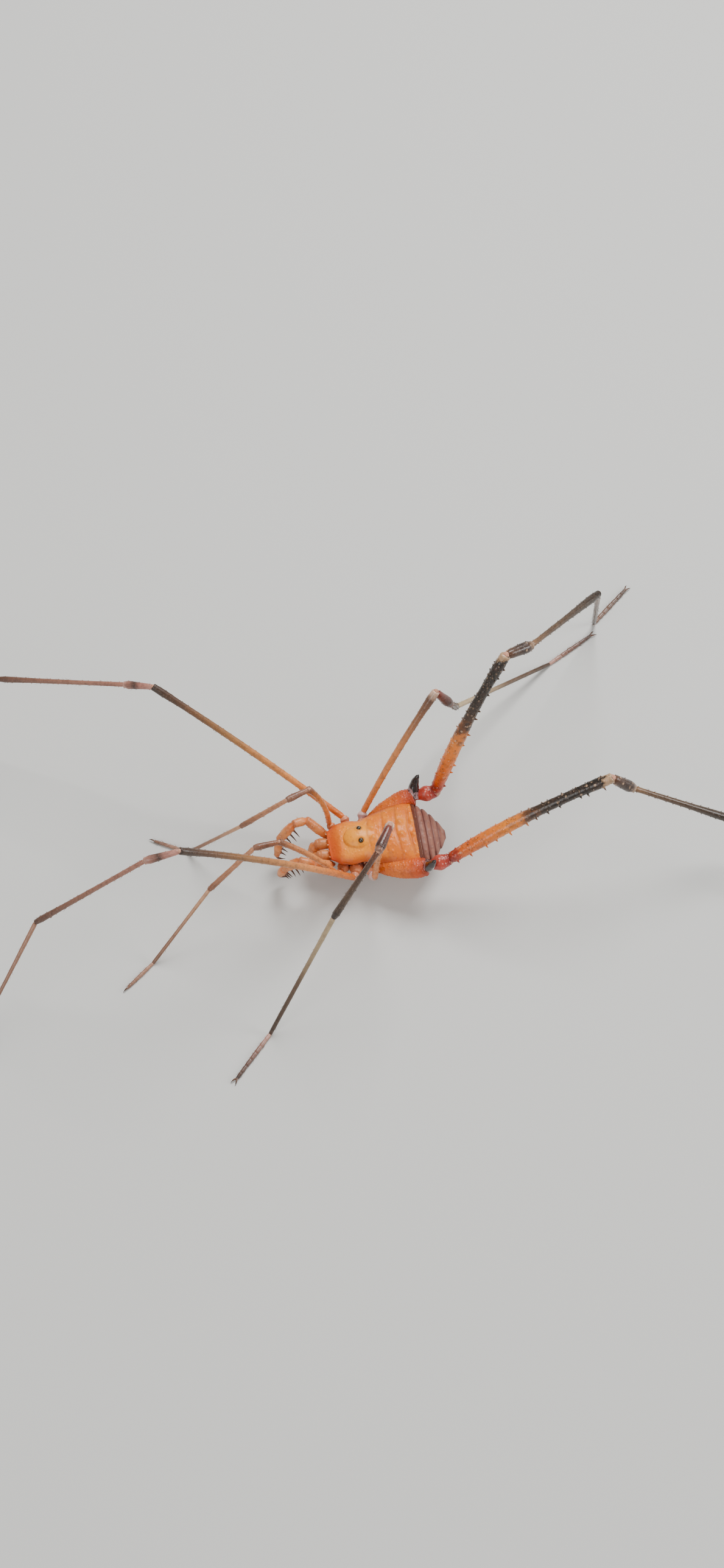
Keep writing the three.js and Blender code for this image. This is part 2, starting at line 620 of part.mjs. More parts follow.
function leg(name) {
  const pair = Number(name.split("_")[1]);
  const side = SIDES[name.split("_")[2]];
  const hind = pair === 4;
  const shape = hind ? HIND : THIN;
  const joints = legJoints(side, pair, POSES[name]);
  const tarsusEnd = joints.pop();
  const femurBow = hind ? HIND_FEMUR_BOW : THIN_FEMUR_BOW;
  const warts = tubercleRows(
    [
      { angle: 115 * side, count: 10, height: 0.34, radius: 0.13, root: 0.42 },
      { angle: -115 * side, count: 9, height: 0.26, radius: 0.12, root: 0.42 },
      { angle: 35 * side, count: 7, height: 0.18, radius: 0.12, root: 0.42 },
      { angle: -35 * side, count: 7, height: 0.18, radius: 0.12, root: 0.42 },
    ],
    femurBow,
  );
  const pieces = [
    legPiece(shape.trochanter, { sides: hind ? 10 : 8 }),
    legPiece(shape.femur, { sides: hind ? 10 : 8, bow: femurBow, spines: hind ? warts : null }),
    legPiece(shape.patella, { sides: hind ? 9 : 8 }),
    legPiece(shape.tibia, { sides: 8 }),
    foot(pair, tarsusEnd),
  ];
  const [trochanter, femur, patella, tibia, tip] = jointedPieces(joints, pieces);
  const body = ["scutum", "belly", "coxa_4_" + name.split("_")[2], ...(hind ? RINGS : [])];
  const hips = hind ? HIND_HIP_CLEARANCES.map((move) => placed.get(body[2]).translate(move)) : [];
  const cleared = hips.reduce((left, hip) => left.subtract(hip), trochanter);
  addNode(name + "_trochanter", cleared, "trochanter", body);
  addNode(name + "_femur", femur, hind ? "hind_femur" : LEG_COLOURS.femur, body);
  addNode(name + "_patella", patella, LEG_COLOURS.patella);
  addNode(name + "_tibia", tibia, LEG_COLOURS.tibia);
  addNode(name + "_foot", tip, LEG_COLOURS.foot);
}

for (const [name, side] of Object.entries(SIDES)) {
  addNode("coxa_4_" + name, hindHip(side), "coxa", ["scutum", "belly", ...RINGS], true);
  const { base, hand } = jaw(side);
  addNode("chelicera_base_" + name, base, "mouth", ["scutum", "belly"], true);
  addNode("chelicera_hand_" + name, hand, "mouth", ["scutum", "belly"], true);
  const near = ["scutum", "belly", "chelicera_base_" + name];
  for (const [piece, solid] of Object.entries(palp(side)))
    addNode(`pedipalp_${name}_${piece}`, solid, "mouth", near, true);
}
for (const name of Object.keys(POSES)) leg(name);

// The origin is the middle of the box round the whole animal, on the floor.
const box = new THREE.Box3().setFromObject(animal);
animal.position.set(-(box.min.x + box.max.x) / 2, -(box.min.y + box.max.y) / 2, -box.min.z);

export default animal;
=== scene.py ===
"""A walking harvestman as a museum shows it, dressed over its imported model, in metres.

Sizes are written in millimetres in the animal's own frame: the head points along -Y, its left side
is +X and the floor is z = 0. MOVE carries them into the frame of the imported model.
"""

import math

import bpy
import numpy as np
from bpy.props import FloatProperty, FloatVectorProperty, PointerProperty
from mathutils import Matrix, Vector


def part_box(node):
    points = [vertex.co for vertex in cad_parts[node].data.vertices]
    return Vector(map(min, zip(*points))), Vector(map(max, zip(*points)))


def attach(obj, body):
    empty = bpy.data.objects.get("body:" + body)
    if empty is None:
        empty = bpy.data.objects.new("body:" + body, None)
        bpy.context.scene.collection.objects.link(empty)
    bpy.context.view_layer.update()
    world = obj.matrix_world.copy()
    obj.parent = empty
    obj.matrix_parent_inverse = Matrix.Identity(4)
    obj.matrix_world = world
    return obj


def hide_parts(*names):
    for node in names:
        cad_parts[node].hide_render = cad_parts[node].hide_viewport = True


bl_info = {
    "name": "Harvestman",
    "version": (1, 0, 0),
    "blender": (4, 5, 0),
    "location": "View3D > Sidebar > Harvestman",
    "description": "Builds the skin, legs, mouthparts, eyes and stage of a walking harvestman",
    "category": "Object",
}

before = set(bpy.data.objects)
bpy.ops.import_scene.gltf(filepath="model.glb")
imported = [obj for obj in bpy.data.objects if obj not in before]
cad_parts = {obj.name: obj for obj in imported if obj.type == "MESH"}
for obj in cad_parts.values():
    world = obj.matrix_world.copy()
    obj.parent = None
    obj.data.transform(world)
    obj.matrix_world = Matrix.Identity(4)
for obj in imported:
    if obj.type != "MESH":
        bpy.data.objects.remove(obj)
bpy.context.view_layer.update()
MM = 0.001
SIDES = {"left": 1, "right": -1}

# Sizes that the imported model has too, in millimetres and degrees
EYE = (0.52, -1.12, 4.18)
EYE_RADIUS = 0.2
SHIELD_FRONT = -3.4
SHIELD_REAR = 3.3
SHIELD_RIM = 2.9
SHIELD_HALF_WIDTH = [
    (-3.4, 1.25), (-2.7, 1.72), (-1.9, 1.86), (-1.0, 1.72),
    (0.0, 2.1), (1.4, 2.6), (2.6, 2.9), (3.3, 2.8),
]
SHIELD_TOP = [(-3.4, 3.35), (-2.6, 3.75), (-1.2, 3.95), (0.4, 4.25), (1.8, 4.35), (2.8, 4.15), (3.3, 3.85)]
GROOVES = (-0.55, 0.55, 1.55, 2.5)
GRAIN_ROWS = (-0.1, 1.05, 2.02, 2.95)
MOUND = ((0.0, -1.2, 3.7), (0.95, 1.15, 0.62))
RING_Y = (3.4, 3.85, 4.35, 4.8, 5.35)
RING_NODES = ("free_tergite_1", "free_tergite_2", "free_tergite_3", "anal_plate")
RING_HALF_WIDTH = [(3.3, 2.7), (3.9, 2.3), (4.4, 1.8), (4.85, 1.2), (5.35, 0.42)]
RING_TOP = [(3.3, 3.75), (3.9, 3.62), (4.4, 3.4), (4.85, 3.1), (5.35, 2.72)]
RING_LOW = [(3.3, 1.75), (3.9, 1.8), (4.4, 1.9), (4.85, 2.05), (5.35, 2.35)]
HIPS = {
    1: ((1.75, -2.75, 2.3), (0.35, -1.9, 2.15), 0.5),
    2: ((2.1, -1.75, 2.3), (0.35, -1.2, 2.1), 0.58),
    3: ((2.25, -0.65, 2.3), (0.35, -0.4, 2.1), 0.52),
}
HIND_HIP = ((1.75, -0.2, 2.5), (3.1, 3.6, 3.5))
HIND_HIP_OUTLINE = [(0, 0.42), (0.12, 0.58), (0.4, 0.7), (0.75, 0.76), (0.95, 0.66), (1, 0.5)]
HIND_HIP_BOW = 0.3
SPUR = ((3.15, 3.45, 3.85), (3.75, 3.95, 5.4))
THIGH_START = {1: (2.25, -3.1, 2.5), 2: (2.65, -1.95, 2.5), 3: (2.85, -0.45, 2.5), 4: (3.0, 5.1, 3.9)}
HIP_SLIT = 0.15
LEG_LENGTHS = {
    1: (6.9, 1.9, 5.0, 7.2, 2.8),
    2: (17.6, 2.6, 10.5, 12.0, 4.6),
    3: (11.8, 2.3, 6.6, 11.0, 4.4),
    4: (13.8, 2.5, 9.0, 14.0, 4.2),
}
FOOT_REST = 0.12
POSES = {
    "leg_1_left": ((-94, 52), (-84, 0), (-74, -42), -58, -50),
    "leg_1_right": ((-118, 75), (-115, 8), (-82, -46), -66, -60),
    "leg_2_left": ((-78, 42), (-88, -12), (-90, -38), -44, -34),
    "leg_2_right": ((-58, 30), (-59, -23), (-67, -16), -44, -34),
    "leg_3_left": ((14, 77), (-30, 2), (-62, -53), -53, -42),
    "leg_3_right": ((58, 53), (84, -60), (20, -58), 57, 60),
    "leg_4_left": ((95, 29), (90, -46), (82, -31), 36, 28),
    "leg_4_right": ((60, 63), (63, -17), (48, -18), 16, 48),
}
PALP_JOINTS = ((1.2, -3.35, 2.4), (1.95, -4.85, 4.0), (1.6, -5.85, 4.3), (1.3, -7.0, 2.9), (0.85, -7.3, 1.4))

# Sizes that only this model has, in millimetres
SHIELD_WALL = 0.3
BELLY_TOP = 2.95
BELLY_HALF_WIDTH = [
    (-2.8, 0.45), (-2.2, 1.15), (-1.2, 1.6), (0, 1.9), (1.2, 2.1), (2.4, 2.2), (3.4, 2.1),
]
BELLY_LOW = [(-2.8, 2.1), (-2.2, 1.8), (-1.2, 1.65), (0, 1.6), (1.2, 1.6), (2.4, 1.65), (3.4, 1.75)]
SPUR_PROFILE = ((0, 0.52), (0.3, 0.43), (0.6, 0.31), (0.86, 0.17), (1, 0.02))
JAW_JOINTS = ((0.52, -2.95, 2.55), (0.5, -4.35, 2.75), (0.36, -4.85, 1.15))
PALP_RADII = ((0.26, 0.36, 0.32), (0.28, 0.34, 0.3), (0.28, 0.36, 0.3), (0.28, 0.32, 0.22))
HAIR_RADIUS = 0.013

# The camera: its pitch, the animal's turn to it, and its distance, found from the photograph
CAMERA_PITCH = 58.0
CAMERA_TURN = 9.0
CAMERA_DISTANCE = 220.0
CAMERA_TARGET = (-3.437, -0.413, 5.658)
CAMERA_LENS = 67.64

# The stage, in metres: each light's name, place, width and share of the main light's power
FLOOR_HALF = 3.0
WORLD_COLOUR = (1.0, 0.98, 0.94, 1.0)
WORLD_STRENGTH = 0.36
LIGHTS = (
    ("key", (-0.16, 0.1, 0.3), 0.16, 1.0),
    ("fill", (0.22, -0.2, 0.22), 0.22, 0.45),
    ("rim", (0.05, 0.3, 0.14), 0.12, 0.35),
)

eye_low, eye_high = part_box("eye_left")
MOVE = np.array([(a + b) / 2 for a, b in zip(eye_low, eye_high)]) - np.array(EYE) * MM


# Lines, noise and bumps


def smooth(x):
    """The S-shaped step from 0 to 1, three x squared less two x cubed."""
    x = np.clip(x, 0, 1)
    return x * x * (3 - 2 * x)


def along(points, x):
    """The line through (x, value) points, half straight and half eased between each two."""
    xs, values = (np.array(c, float) for c in zip(*points))
    x = np.clip(np.asarray(x, float), xs[0], xs[-1])
    i = np.clip(np.searchsorted(xs, x, side="right") - 1, 0, len(xs) - 2)
    t = (x - xs[i]) / (xs[i + 1] - xs[i])
    t = 0.5 * t + 0.5 * smooth(t)
    return values[i] * (1 - t) + values[i + 1] * t


def hashed(i, j, seed):
    """A fixed pseudo-random number from 0 to 1 for each pair of whole numbers."""
    h = np.sin(i * 127.1 + j * 311.7 + seed * 74.7) * 43758.5453
    return h - np.floor(h)


def grains(x, y, spacing, width, seed, wrap, sparse):
    """Rounded grains on a jittered grid over (x, y): at each point the highest of the nine nearest
    grains, each one less its squared distance over its squared width. wrap is the number of grid
    columns after which y repeats, or 0, and sparse the share of grains left out."""
    gx, gy = x / spacing, y / spacing
    ix, iy = np.floor(gx), np.floor(gy)
    high = np.zeros_like(gx)
    for dx in (-1, 0, 1):
        for dy in (-1, 0, 1):
            cx, cy = ix + dx, iy + dy
            key = np.mod(cy, wrap) if wrap else cy
            px = cx + 0.15 + 0.7 * hashed(cx, key, seed)
            py = cy + 0.15 + 0.7 * hashed(cx, key, seed + 5)
            size = 0.55 + 0.45 * hashed(cx, key, seed + 9)
            size = size * (hashed(cx, key, seed + 13) >= sparse)
            d = ((gx - px) ** 2 + (gy - py) ** 2) / (width * np.maximum(size, 1e-6)) ** 2
            high = np.maximum(high, size * np.clip(1 - d, 0, 1))
    return high


def unit(v):
    """The vectors v, each divided by its length."""
    v = np.asarray(v, float)
    return v / np.linalg.norm(v, axis=-1, keepdims=True)


def mirrored(point, side):
    """The point as it is on the left side, where side is 1, or on the right, where it is -1."""
    return np.array(point, float) * (side, 1, 1)


def even_turns(sides):
    """Angles at even steps round a full circle."""
    return np.arange(sides) / sides * 2 * np.pi


def circles(one, two, sides):
    """A circle for each row: the cosine of each angle times one, plus its sine times two."""
    turn = even_turns(sides)[:, None]
    return one[:, None] * np.cos(turn) + two[:, None] * np.sin(turn)


def lattice(rows, sides):
    """Vertex numbers of the quads between rings of points, and of the triangles that join the
    first and the last ring to two end points, which come after all the rings."""
    i, j = np.divmod(np.arange((rows - 1) * sides), sides)
    k = (j + 1) % sides
    quads = np.stack([i * sides + j, i * sides + k, (i + 1) * sides + k, (i + 1) * sides + j], -1)
    j = np.arange(sides)
    k = (j + 1) % sides
    last = (rows - 1) * sides
    end = np.full(sides, rows * sides)
    fans = np.concatenate([np.stack([end, k, j], -1), np.stack([end + 1, last + j, last + k], -1)])
    return quads, fans


def show(name, data):
    """A new object in the scene that holds the mesh, light or camera."""
    made = bpy.data.objects.new(name, data)
    bpy.context.scene.collection.objects.link(made)
    return made


# Surfaces


class Surface:
    """Collects closed skins in millimetres and turns them into one mesh object at the origin."""

    def __init__(self):
        self.points, self.loops, self.starts, self.uv, self.tips = [], [], [], [], []
        self.count = 0
        self.loop_count = 0

    def put(self, points, faces, uvs, tips):
        """Adds vertices, groups of faces of equal size, their UVs and the vertices' tip values.
        Faces are turned round where the signed volume under them is negative."""
        volume = 0.0
        for f in faces:
            a = points[f[:, 0]]
            for k in range(1, f.shape[1] - 1):
                volume += np.einsum("ij,ij->i", a, np.cross(points[f[:, k]], points[f[:, k + 1]])).sum()
        for f, w in zip(faces, uvs):
            if volume < 0:
                f, w = f[:, ::-1], w[:, ::-1]
            self.loops.append((f + self.count).ravel())
            self.uv.append(w.reshape(-1, 2))
            self.starts.append(self.loop_count + np.arange(len(f)) * f.shape[1])
            self.loop_count += f.size
        self.points.append(points)
        self.tips.append(tips)
        self.count += len(points)

    def tube(self, rings, u, tips=None):
        """Closes rows of points, each a ring, with a point in the middle of each end. u is each
        row's share of the length and the UV's first number; the second runs round the ring."""
        n, m = rings.shape[:2]
        points = np.concatenate([rings.reshape(-1, 3), [rings[0].mean(0), rings[-1].mean(0)]])
        corner = lambda row, v: np.stack(np.broadcast_arrays(u[row], v), -1)
        i, j = np.divmod(np.arange((n - 1) * m), m)
        v0, v1 = j / m, (j + 1) / m
        quads = np.stack([corner(i, v0), corner(i, v1), corner(i + 1, v1), corner(i + 1, v0)], 1)
        j = np.arange(m)
        v0, middle, v1 = j / m, (j + 0.5) / m, (j + 1) / m
        first = np.stack([corner(0, middle), corner(0, v1), corner(0, v0)], 1)
        last = np.stack([corner(-1, middle), corner(-1, v0), corner(-1, v1)], 1)
        flat = np.zeros(n * m + 2)
        if tips is not None:
            flat[: n * m] = tips.reshape(-1)
        self.put(points, lattice(n, m), [quads, np.concatenate([first, last])], flat)

    def spikes(self, roots, ways, heights, radii, u, sides=6, sunk=0.5, curl=0.0, towards=None):
        """Many pointed cones at once, each with rings at its sunk root and at three shares of its
        height, whose radii shrink towards a point. curl bends the tip by that share of the height
        along towards, growing with the square of the height."""
        roots, ways = np.asarray(roots, float), unit(ways)
        n = len(roots)
        heights, radii, u = (np.broadcast_to(np.asarray(v, float), n) for v in (heights, radii, u))
        ref = np.where(np.abs(ways[:, 2:3]) < 0.9, [[0.0, 0.0, 1.0]], [[1.0, 0.0, 0.0]])
        one = unit(np.cross(ways, ref))
        ring = circles(one, np.cross(ways, one), sides)
        bend = np.zeros_like(ways) if towards is None else unit(towards)
        rows = ((-sunk, 1.0), (0.15, 0.86), (0.5, 0.6), (0.85, 0.28), (1.0, 0.0))
        spine = [
            roots + ways * (heights * t)[:, None] + bend * (heights * curl * max(t, 0) ** 2)[:, None]
            for t, _ in rows
        ]
        parts = [c[:, None] + (radii * r)[:, None, None] * ring for c, (_, r) in zip(spine, rows[:-1])]
        points = np.concatenate([*parts, spine[0][:, None], spine[-1][:, None]], 1)
        offset = (np.arange(n) * points.shape[1])[:, None, None]
        faces, uvs = [], []
        for numbers in lattice(len(parts), sides):
            corners = numbers.shape[1]
            faces.append((numbers + offset).reshape(-1, corners))
            share = np.broadcast_to(u[:, None, None], (n, *numbers.shape))
            uvs.append(np.stack([share, np.full(share.shape, 0.5)], -1).reshape(-1, corners, 2))
        tips = np.concatenate([np.repeat([0.0, 0.3, 0.7, 1.0], sides), [0.0, 1.0]])
        self.put(points.reshape(-1, 3), faces, uvs, np.tile(tips, n))

    def finish(self, name, material, slot, *nodes, extra=None):
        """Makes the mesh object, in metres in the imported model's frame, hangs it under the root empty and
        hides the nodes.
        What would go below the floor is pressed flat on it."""
        points = np.concatenate(self.points) * MM + MOVE
        points[:, 2] = np.maximum(points[:, 2], 0)
        mesh = bpy.data.meshes.new(name)
        mesh.vertices.add(len(points))
        mesh.vertices.foreach_set("co", points.astype(np.float32).ravel())
        loops = np.concatenate(self.loops).astype(np.int32)
        mesh.loops.add(len(loops))
        mesh.loops.foreach_set("vertex_index", loops)
        starts = np.concatenate(self.starts).astype(np.int32)
        mesh.polygons.add(len(starts))
        mesh.polygons.foreach_set("loop_start", starts)
        mesh.polygons.foreach_set("use_smooth", np.ones(len(starts), bool))
        mesh.update(calc_edges=True)
        layer = mesh.uv_layers.new(name="Skin")
        layer.data.foreach_set("uv", np.concatenate(self.uv).astype(np.float32).ravel())
        tips = mesh.attributes.new("tip", "FLOAT", "POINT")
        tips.data.foreach_set("value", np.concatenate(self.tips).astype(np.float32))
        for key, values in (extra or {}).items():
            attribute = mesh.attributes.new(key, "FLOAT", "POINT")
            attribute.data.foreach_set("value", np.asarray(values, np.float32))
        mesh.materials.append(material)
        piece = show(name, mesh)
        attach(piece, "root")
        if nodes:
            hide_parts(*nodes)
        return piece


def frames(path, up):
    """Unit vectors along a path of points: sideways, the cross product of the way and up, and
    upwards, that of sideways and the way."""
    way = unit(np.gradient(path, axis=0))
    side = unit(np.cross(way, np.asarray(up, float)))
    return side, np.cross(side, way)


def curve(a, b, c, n):
    """Points on the quadratic curve from a towards b to c."""
    t = np.linspace(0, 1, n)[:, None]
    return (1 - t) ** 2 * a + 2 * t * (1 - t) * b + t**2 * c


def horn(surface, a, b, c, profile, n, sides, up=(0, 0, 1)):
    """A smooth horn along the quadratic curve from a to c: circles whose radius follows profile,
    a list of (share of the length, radius)."""
    path = curve(a, b, c, n)
    side, top = frames(path, up)
    t = np.linspace(0, 1, n)
    rings = path[:, None] + along(profile, t)[:, None, None] * circles(side, top, sides)
    surface.tube(rings, t, np.repeat(t[:, None], sides, 1))


def segment(surface, start, end, profile, rows, sides, bow=0.0, neck=0.7, rough=None, rings=0):
    """One piece of a leg. Its centre line runs straight from start to end, lifted by four t (1 - t)
    times bow. Its radius follows profile over the length, narrows to a neck before the start, ends
    in a rounded cap, is pinched at each of its rings, and is raised by the grains of rough, which
    holds their spacing, height, width, seed and the share left out. Gives what on_skin needs."""
    length = np.linalg.norm(end - start)
    way = (end - start) / length
    top = unit(np.array([0.0, 0.0, 1.0]) - way * way[2])
    r0, r1 = profile[0][1], profile[-1][1]
    lead, tail = r0 * 0.9, r1 * 0.45
    q = np.linspace(0, 1, rows)
    q = q + 0.035 * np.sin(4 * np.pi * q) / 2 - 0.03 * np.sin(2 * np.pi * q)
    s = -lead + (length + lead + tail) * q
    t = np.clip(s / length, 0, 1)
    r = along(profile, t)
    r = r * (neck + (1 - neck) * smooth((s + r0 * 0.1) / (r0 * 1.3)))
    r = r * np.sqrt(np.clip(1 - (np.minimum(s, 0) / lead) ** 2, 0.02, 1))
    r = r * np.sqrt(np.clip(1 - (np.maximum(s - length, 0) / tail) ** 2, 0.02, 1))
    if rings:
        pinch = 0.16 * np.exp(-((np.mod(t * rings + 0.5, 1) - 0.5) ** 2) / 0.006)
        r = r * (1 - pinch * (t > 0.5 / rings) * (t < 1 - 0.4 / rings))
    path = start + way * s[:, None] + top * (bow * 4 * t * (1 - t))[:, None]
    side, high = frames(path, top)
    radius = np.repeat(r[:, None], sides, 1)
    tips = np.zeros_like(radius)
    if rough:
        spacing, height, width, seed, sparse = rough
        around = max(6, int(round(2 * np.pi * np.mean(r) / spacing)))
        x, y = np.meshgrid(s, even_turns(sides) / (2 * np.pi) * around * spacing, indexing="ij")
        tips = grains(x, y, spacing, width, seed, around, sparse)
        tips = tips * smooth((s - r0 * 0.6) / r0)[:, None]
        tips = tips * smooth((length - s) / (0.3 * r1) + 1)[:, None]
        radius = radius + height * tips
    surface.tube(path[:, None] + radius[..., None] * circles(side, high, sides), t, tips)
    return path, side, high, t, r


def ball(surface, centre, radii, rows, sides, axis, ripple=0.0):
    """An ellipsoid of latitude rings round axis, with ripples that look like folds."""
    theta = np.linspace(0.06, np.pi - 0.06, rows)
    a, b = np.meshgrid(theta, even_turns(sides), indexing="ij")
    local = np.stack([np.sin(a) * np.cos(b), np.sin(a) * np.sin(b), np.cos(a)], -1)
    local = local * (1 + ripple * np.sin(a * 14))[..., None] * np.asarray(radii, float)
    z = unit(axis)
    x = unit(np.cross(z, [0.31, 0.95, 0.05]))
    surface.tube(local @ np.stack([x, np.cross(z, x), z]) + centre, theta / np.pi)


def on_skin(path, side, high, t, r, shares, angles):
    """Points on a segment at shares of its length and angles from its top, and the ways out."""
    pick = lambda values: np.stack([np.interp(shares, t, values[:, c]) for c in range(3)], -1)
    out = unit(pick(high) * np.cos(angles) + pick(side) * np.sin(angles))
    return pick(path) + out * np.interp(shares, t, r)[:, None], out


def rows_on(skin, angle, count, start, end, seed, jitter=6.0):
    """Roots, ways and shares for a row of spines on a segment: at even shares of the length from
    start to end, at that angle in degrees from the top, each off by a fixed random number."""
    k = np.arange(count)
    shares = start + (end - start) * (k + 0.6 * (hashed(k, angle, seed) - 0.5)) / max(count - 1, 1)
    shares = np.clip(shares, 0.01, 0.99)
    angles = np.radians(angle + jitter * (hashed(k, angle, seed + 3) - 0.5) * 2)[:, None]
    return *on_skin(*skin, shares, angles), shares


def hairs(surface, skin, count, length, seed, lean):
    """Fine hairs all over a segment at fixed random places, leaning towards its end."""
    start, end = 0.04, 0.98
    k = np.arange(count)
    shares = start + (end - start) * hashed(k, 1.0, seed)
    roots, out = on_skin(*skin, shares, (hashed(k, 2.0, seed) * 2 * np.pi)[:, None])
    way = unit(skin[0][-1] - skin[0][0])
    size = length * (0.6 + 0.7 * hashed(k, 3.0, seed))
    ways = unit(out + way * lean)
    surface.spikes(roots, ways, size, HAIR_RADIUS, shares, sides=3, sunk=0.1, curl=0.2, towards=way)


# Materials


def rgb(r, g, b):
    """A colour given as eight-bit screen values, as the linear one that shaders use."""
    linear = lambda c: ((c / 255 + 0.055) / 1.055) ** 2.4 if c > 10 else c / 255 / 12.92
    return (linear(r), linear(g), linear(b), 1.0)


class Value:
    """A shader socket whose arithmetic adds Math nodes."""

    def __init__(self, tree, socket):
        self.tree, self.socket = tree, socket

    def _math(self, operation, a, b):
        return self.tree.node("ShaderNodeMath", {"operation": operation}, {0: a, 1: b})

    def __add__(self, other):
        return self._math("ADD", self, other)

    def __sub__(self, other):
        return self._math("SUBTRACT", self, other)

    def __mul__(self, other):
        return self._math("MULTIPLY", self, other)

    def __rsub__(self, other):
        return self._math("SUBTRACT", other, self)

    __radd__ = __add__
    __rmul__ = __mul__


class Finish:
    """A material being wired: its nodes, and the shader that they feed."""

    def __init__(self, name):
        self.material = bpy.data.materials.new(name)
        self.material.use_nodes = True
        self.nodes = self.material.node_tree.nodes
        self.links = self.material.node_tree.links
        self.shader = self.nodes["Principled BSDF"]

    def node(self, kind, settings=None, inputs=None, output=0):
        """Adds a node, sets its settings and then its inputs, and gives the chosen output."""
        made = self.nodes.new(kind)
        for key, value in (settings or {}).items():
            if key == "stops":
                ramp = made.color_ramp
                while len(ramp.elements) < len(value):
                    ramp.elements.new(0.5)
                for element, (place, colour) in zip(ramp.elements, value):
                    element.position = place
                for element, (place, colour) in zip(ramp.elements, value):
                    element.color = colour
            else:
                setattr(made, key, value)
        for key, value in (inputs or {}).items():
            self.feed(made.inputs[key], value)
        return Value(self, made.outputs[output])

    def feed(self, socket, value):
        """Links the value to the socket, or writes it there where it is a plain one."""
        if isinstance(value, Value):
            self.links.new(value.socket, socket)
        else:
            socket.default_value = value

    def uv(self):
        """The share of the piece's length."""
        vector = self.node("ShaderNodeUVMap", {"uv_map": "Skin"})
        return self.node("ShaderNodeSeparateXYZ", None, {0: vector})

    def place(self):
        """The place on the piece, in metres."""
        return self.node("ShaderNodeTexCoord", output="Object")

    def noise(self, size, detail=3.0, rough=0.55):
        """Smooth noise whose patches are about size millimetres across."""
        inputs = {"Vector": self.place(), "Scale": 1 / (size * MM), "Detail": detail, "Roughness": rough}
        return self.node("ShaderNodeTexNoise", None, inputs)

    def spots(self, size):
        """The distance to the nearest of many points, size millimetres apart, as a share of that."""
        inputs = {"Vector": self.place(), "Scale": 1 / (size * MM)}
        return self.node("ShaderNodeTexVoronoi", None, inputs)

    def attribute(self, name):
        """A number that the mesh holds for each vertex."""
        return self.node("ShaderNodeAttribute", {"attribute_name": name}, output="Fac")

    def step(self, value, low, high):
        """0 below low, 1 above high and smooth between."""
        inputs = {0: value, 1: low, 2: high, 3: 0.0, 4: 1.0}
        return self.node("ShaderNodeMapRange", {"interpolation_type": "SMOOTHSTEP"}, inputs)

    def mix(self, share, a, b):
        return self.node("ShaderNodeMix", {"data_type": "RGBA"}, {0: share, 6: a, 7: b}, output=2)

    def ramp(self, value, colours):
        """The colour at value between stops of (place, screen colour)."""
        stops = [(place, rgb(*colour)) for place, colour in colours]
        return self.node("ShaderNodeValToRGB", {"stops": stops}, {0: value})

    def bump(self, height, depth, strength, normal=None):
        """The normal of a surface raised by height times depth millimetres."""
        inputs = {"Strength": strength, "Distance": depth * MM, "Height": height}
        if normal:
            inputs["Normal"] = normal
        return self.node("ShaderNodeBump", None, inputs)

    def close(self, colour, roughness, normal, coat=0.0, waxy=0.0, specular=0.5):
        """Feeds the shader and gives the material."""
        values = {
            "Base Color": colour, "Roughness": roughness, "Normal": normal, "Coat Weight": coat,
            "Coat Roughness": 0.18, "Subsurface Weight": waxy, "Subsurface Scale": 0.35 * MM,
            "Subsurface Radius": (1.0, 0.45, 0.2), "Specular IOR Level": specular,
        }
        for key, value in values.items():
            self.feed(self.shader.inputs[key], value)
        return self.material


def cuticle(
    name, colours, dark, pale, mottle=0.25, spread=0.05, gloss=0.4, coat=0.15, waxy=0.1,
    freckles=0.0, tips=0.3, specks=0.0, patches=None,
):
    """Hard skin whose colour runs along the piece through colours, shifted by noise over spread of
    the length, darkened in blotches, with pale grain tips, pale specks, dark freckles, and large
    dark patches that thicken between the two shares of the length in patches."""
    f = Finish(name)
    wide, fine = f.noise(0.9), f.noise(0.16, 4.0)
    share = f.uv() + (wide - 0.5) * (spread * 3.0) + (fine - 0.5) * spread
    colour = f.ramp(share, colours)
    blotch = f.step(f.noise(0.42, 4.0, 0.62), 0.46, 0.66)
    colour = f.mix(blotch * mottle, colour, dark)
    if freckles:
        spot = f.step(f.spots(0.3), 0.34, 0.18) * f.step(fine, 0.42, 0.55)
        colour = f.mix(spot * freckles, colour, dark)
    if patches:
        spot = f.step(f.spots(0.7) + (fine - 0.5) * 0.5, 0.46, 0.3) * f.step(share, *patches)
        colour = f.mix(spot * 0.85, colour, dark)
    if specks:
        spot = f.step(f.spots(0.42), 0.3, 0.12) * f.step(wide, 0.4, 0.6)
        colour = f.mix(spot * specks, colour, pale)
    colour = f.mix(f.step(f.attribute("tip"), 0.35, 0.95) * tips, colour, pale)
    colour = f.mix(f.step(fine, 0.4, 0.75) * 0.06, colour, pale)
    roughness = gloss + (fine - 0.5) * 0.3 + blotch * 0.06
    normal = f.bump(f.noise(0.05, 3.0), 0.012, 0.35, f.bump(fine, 0.03, 0.35))
    return f.close(colour, roughness, normal, coat, waxy)


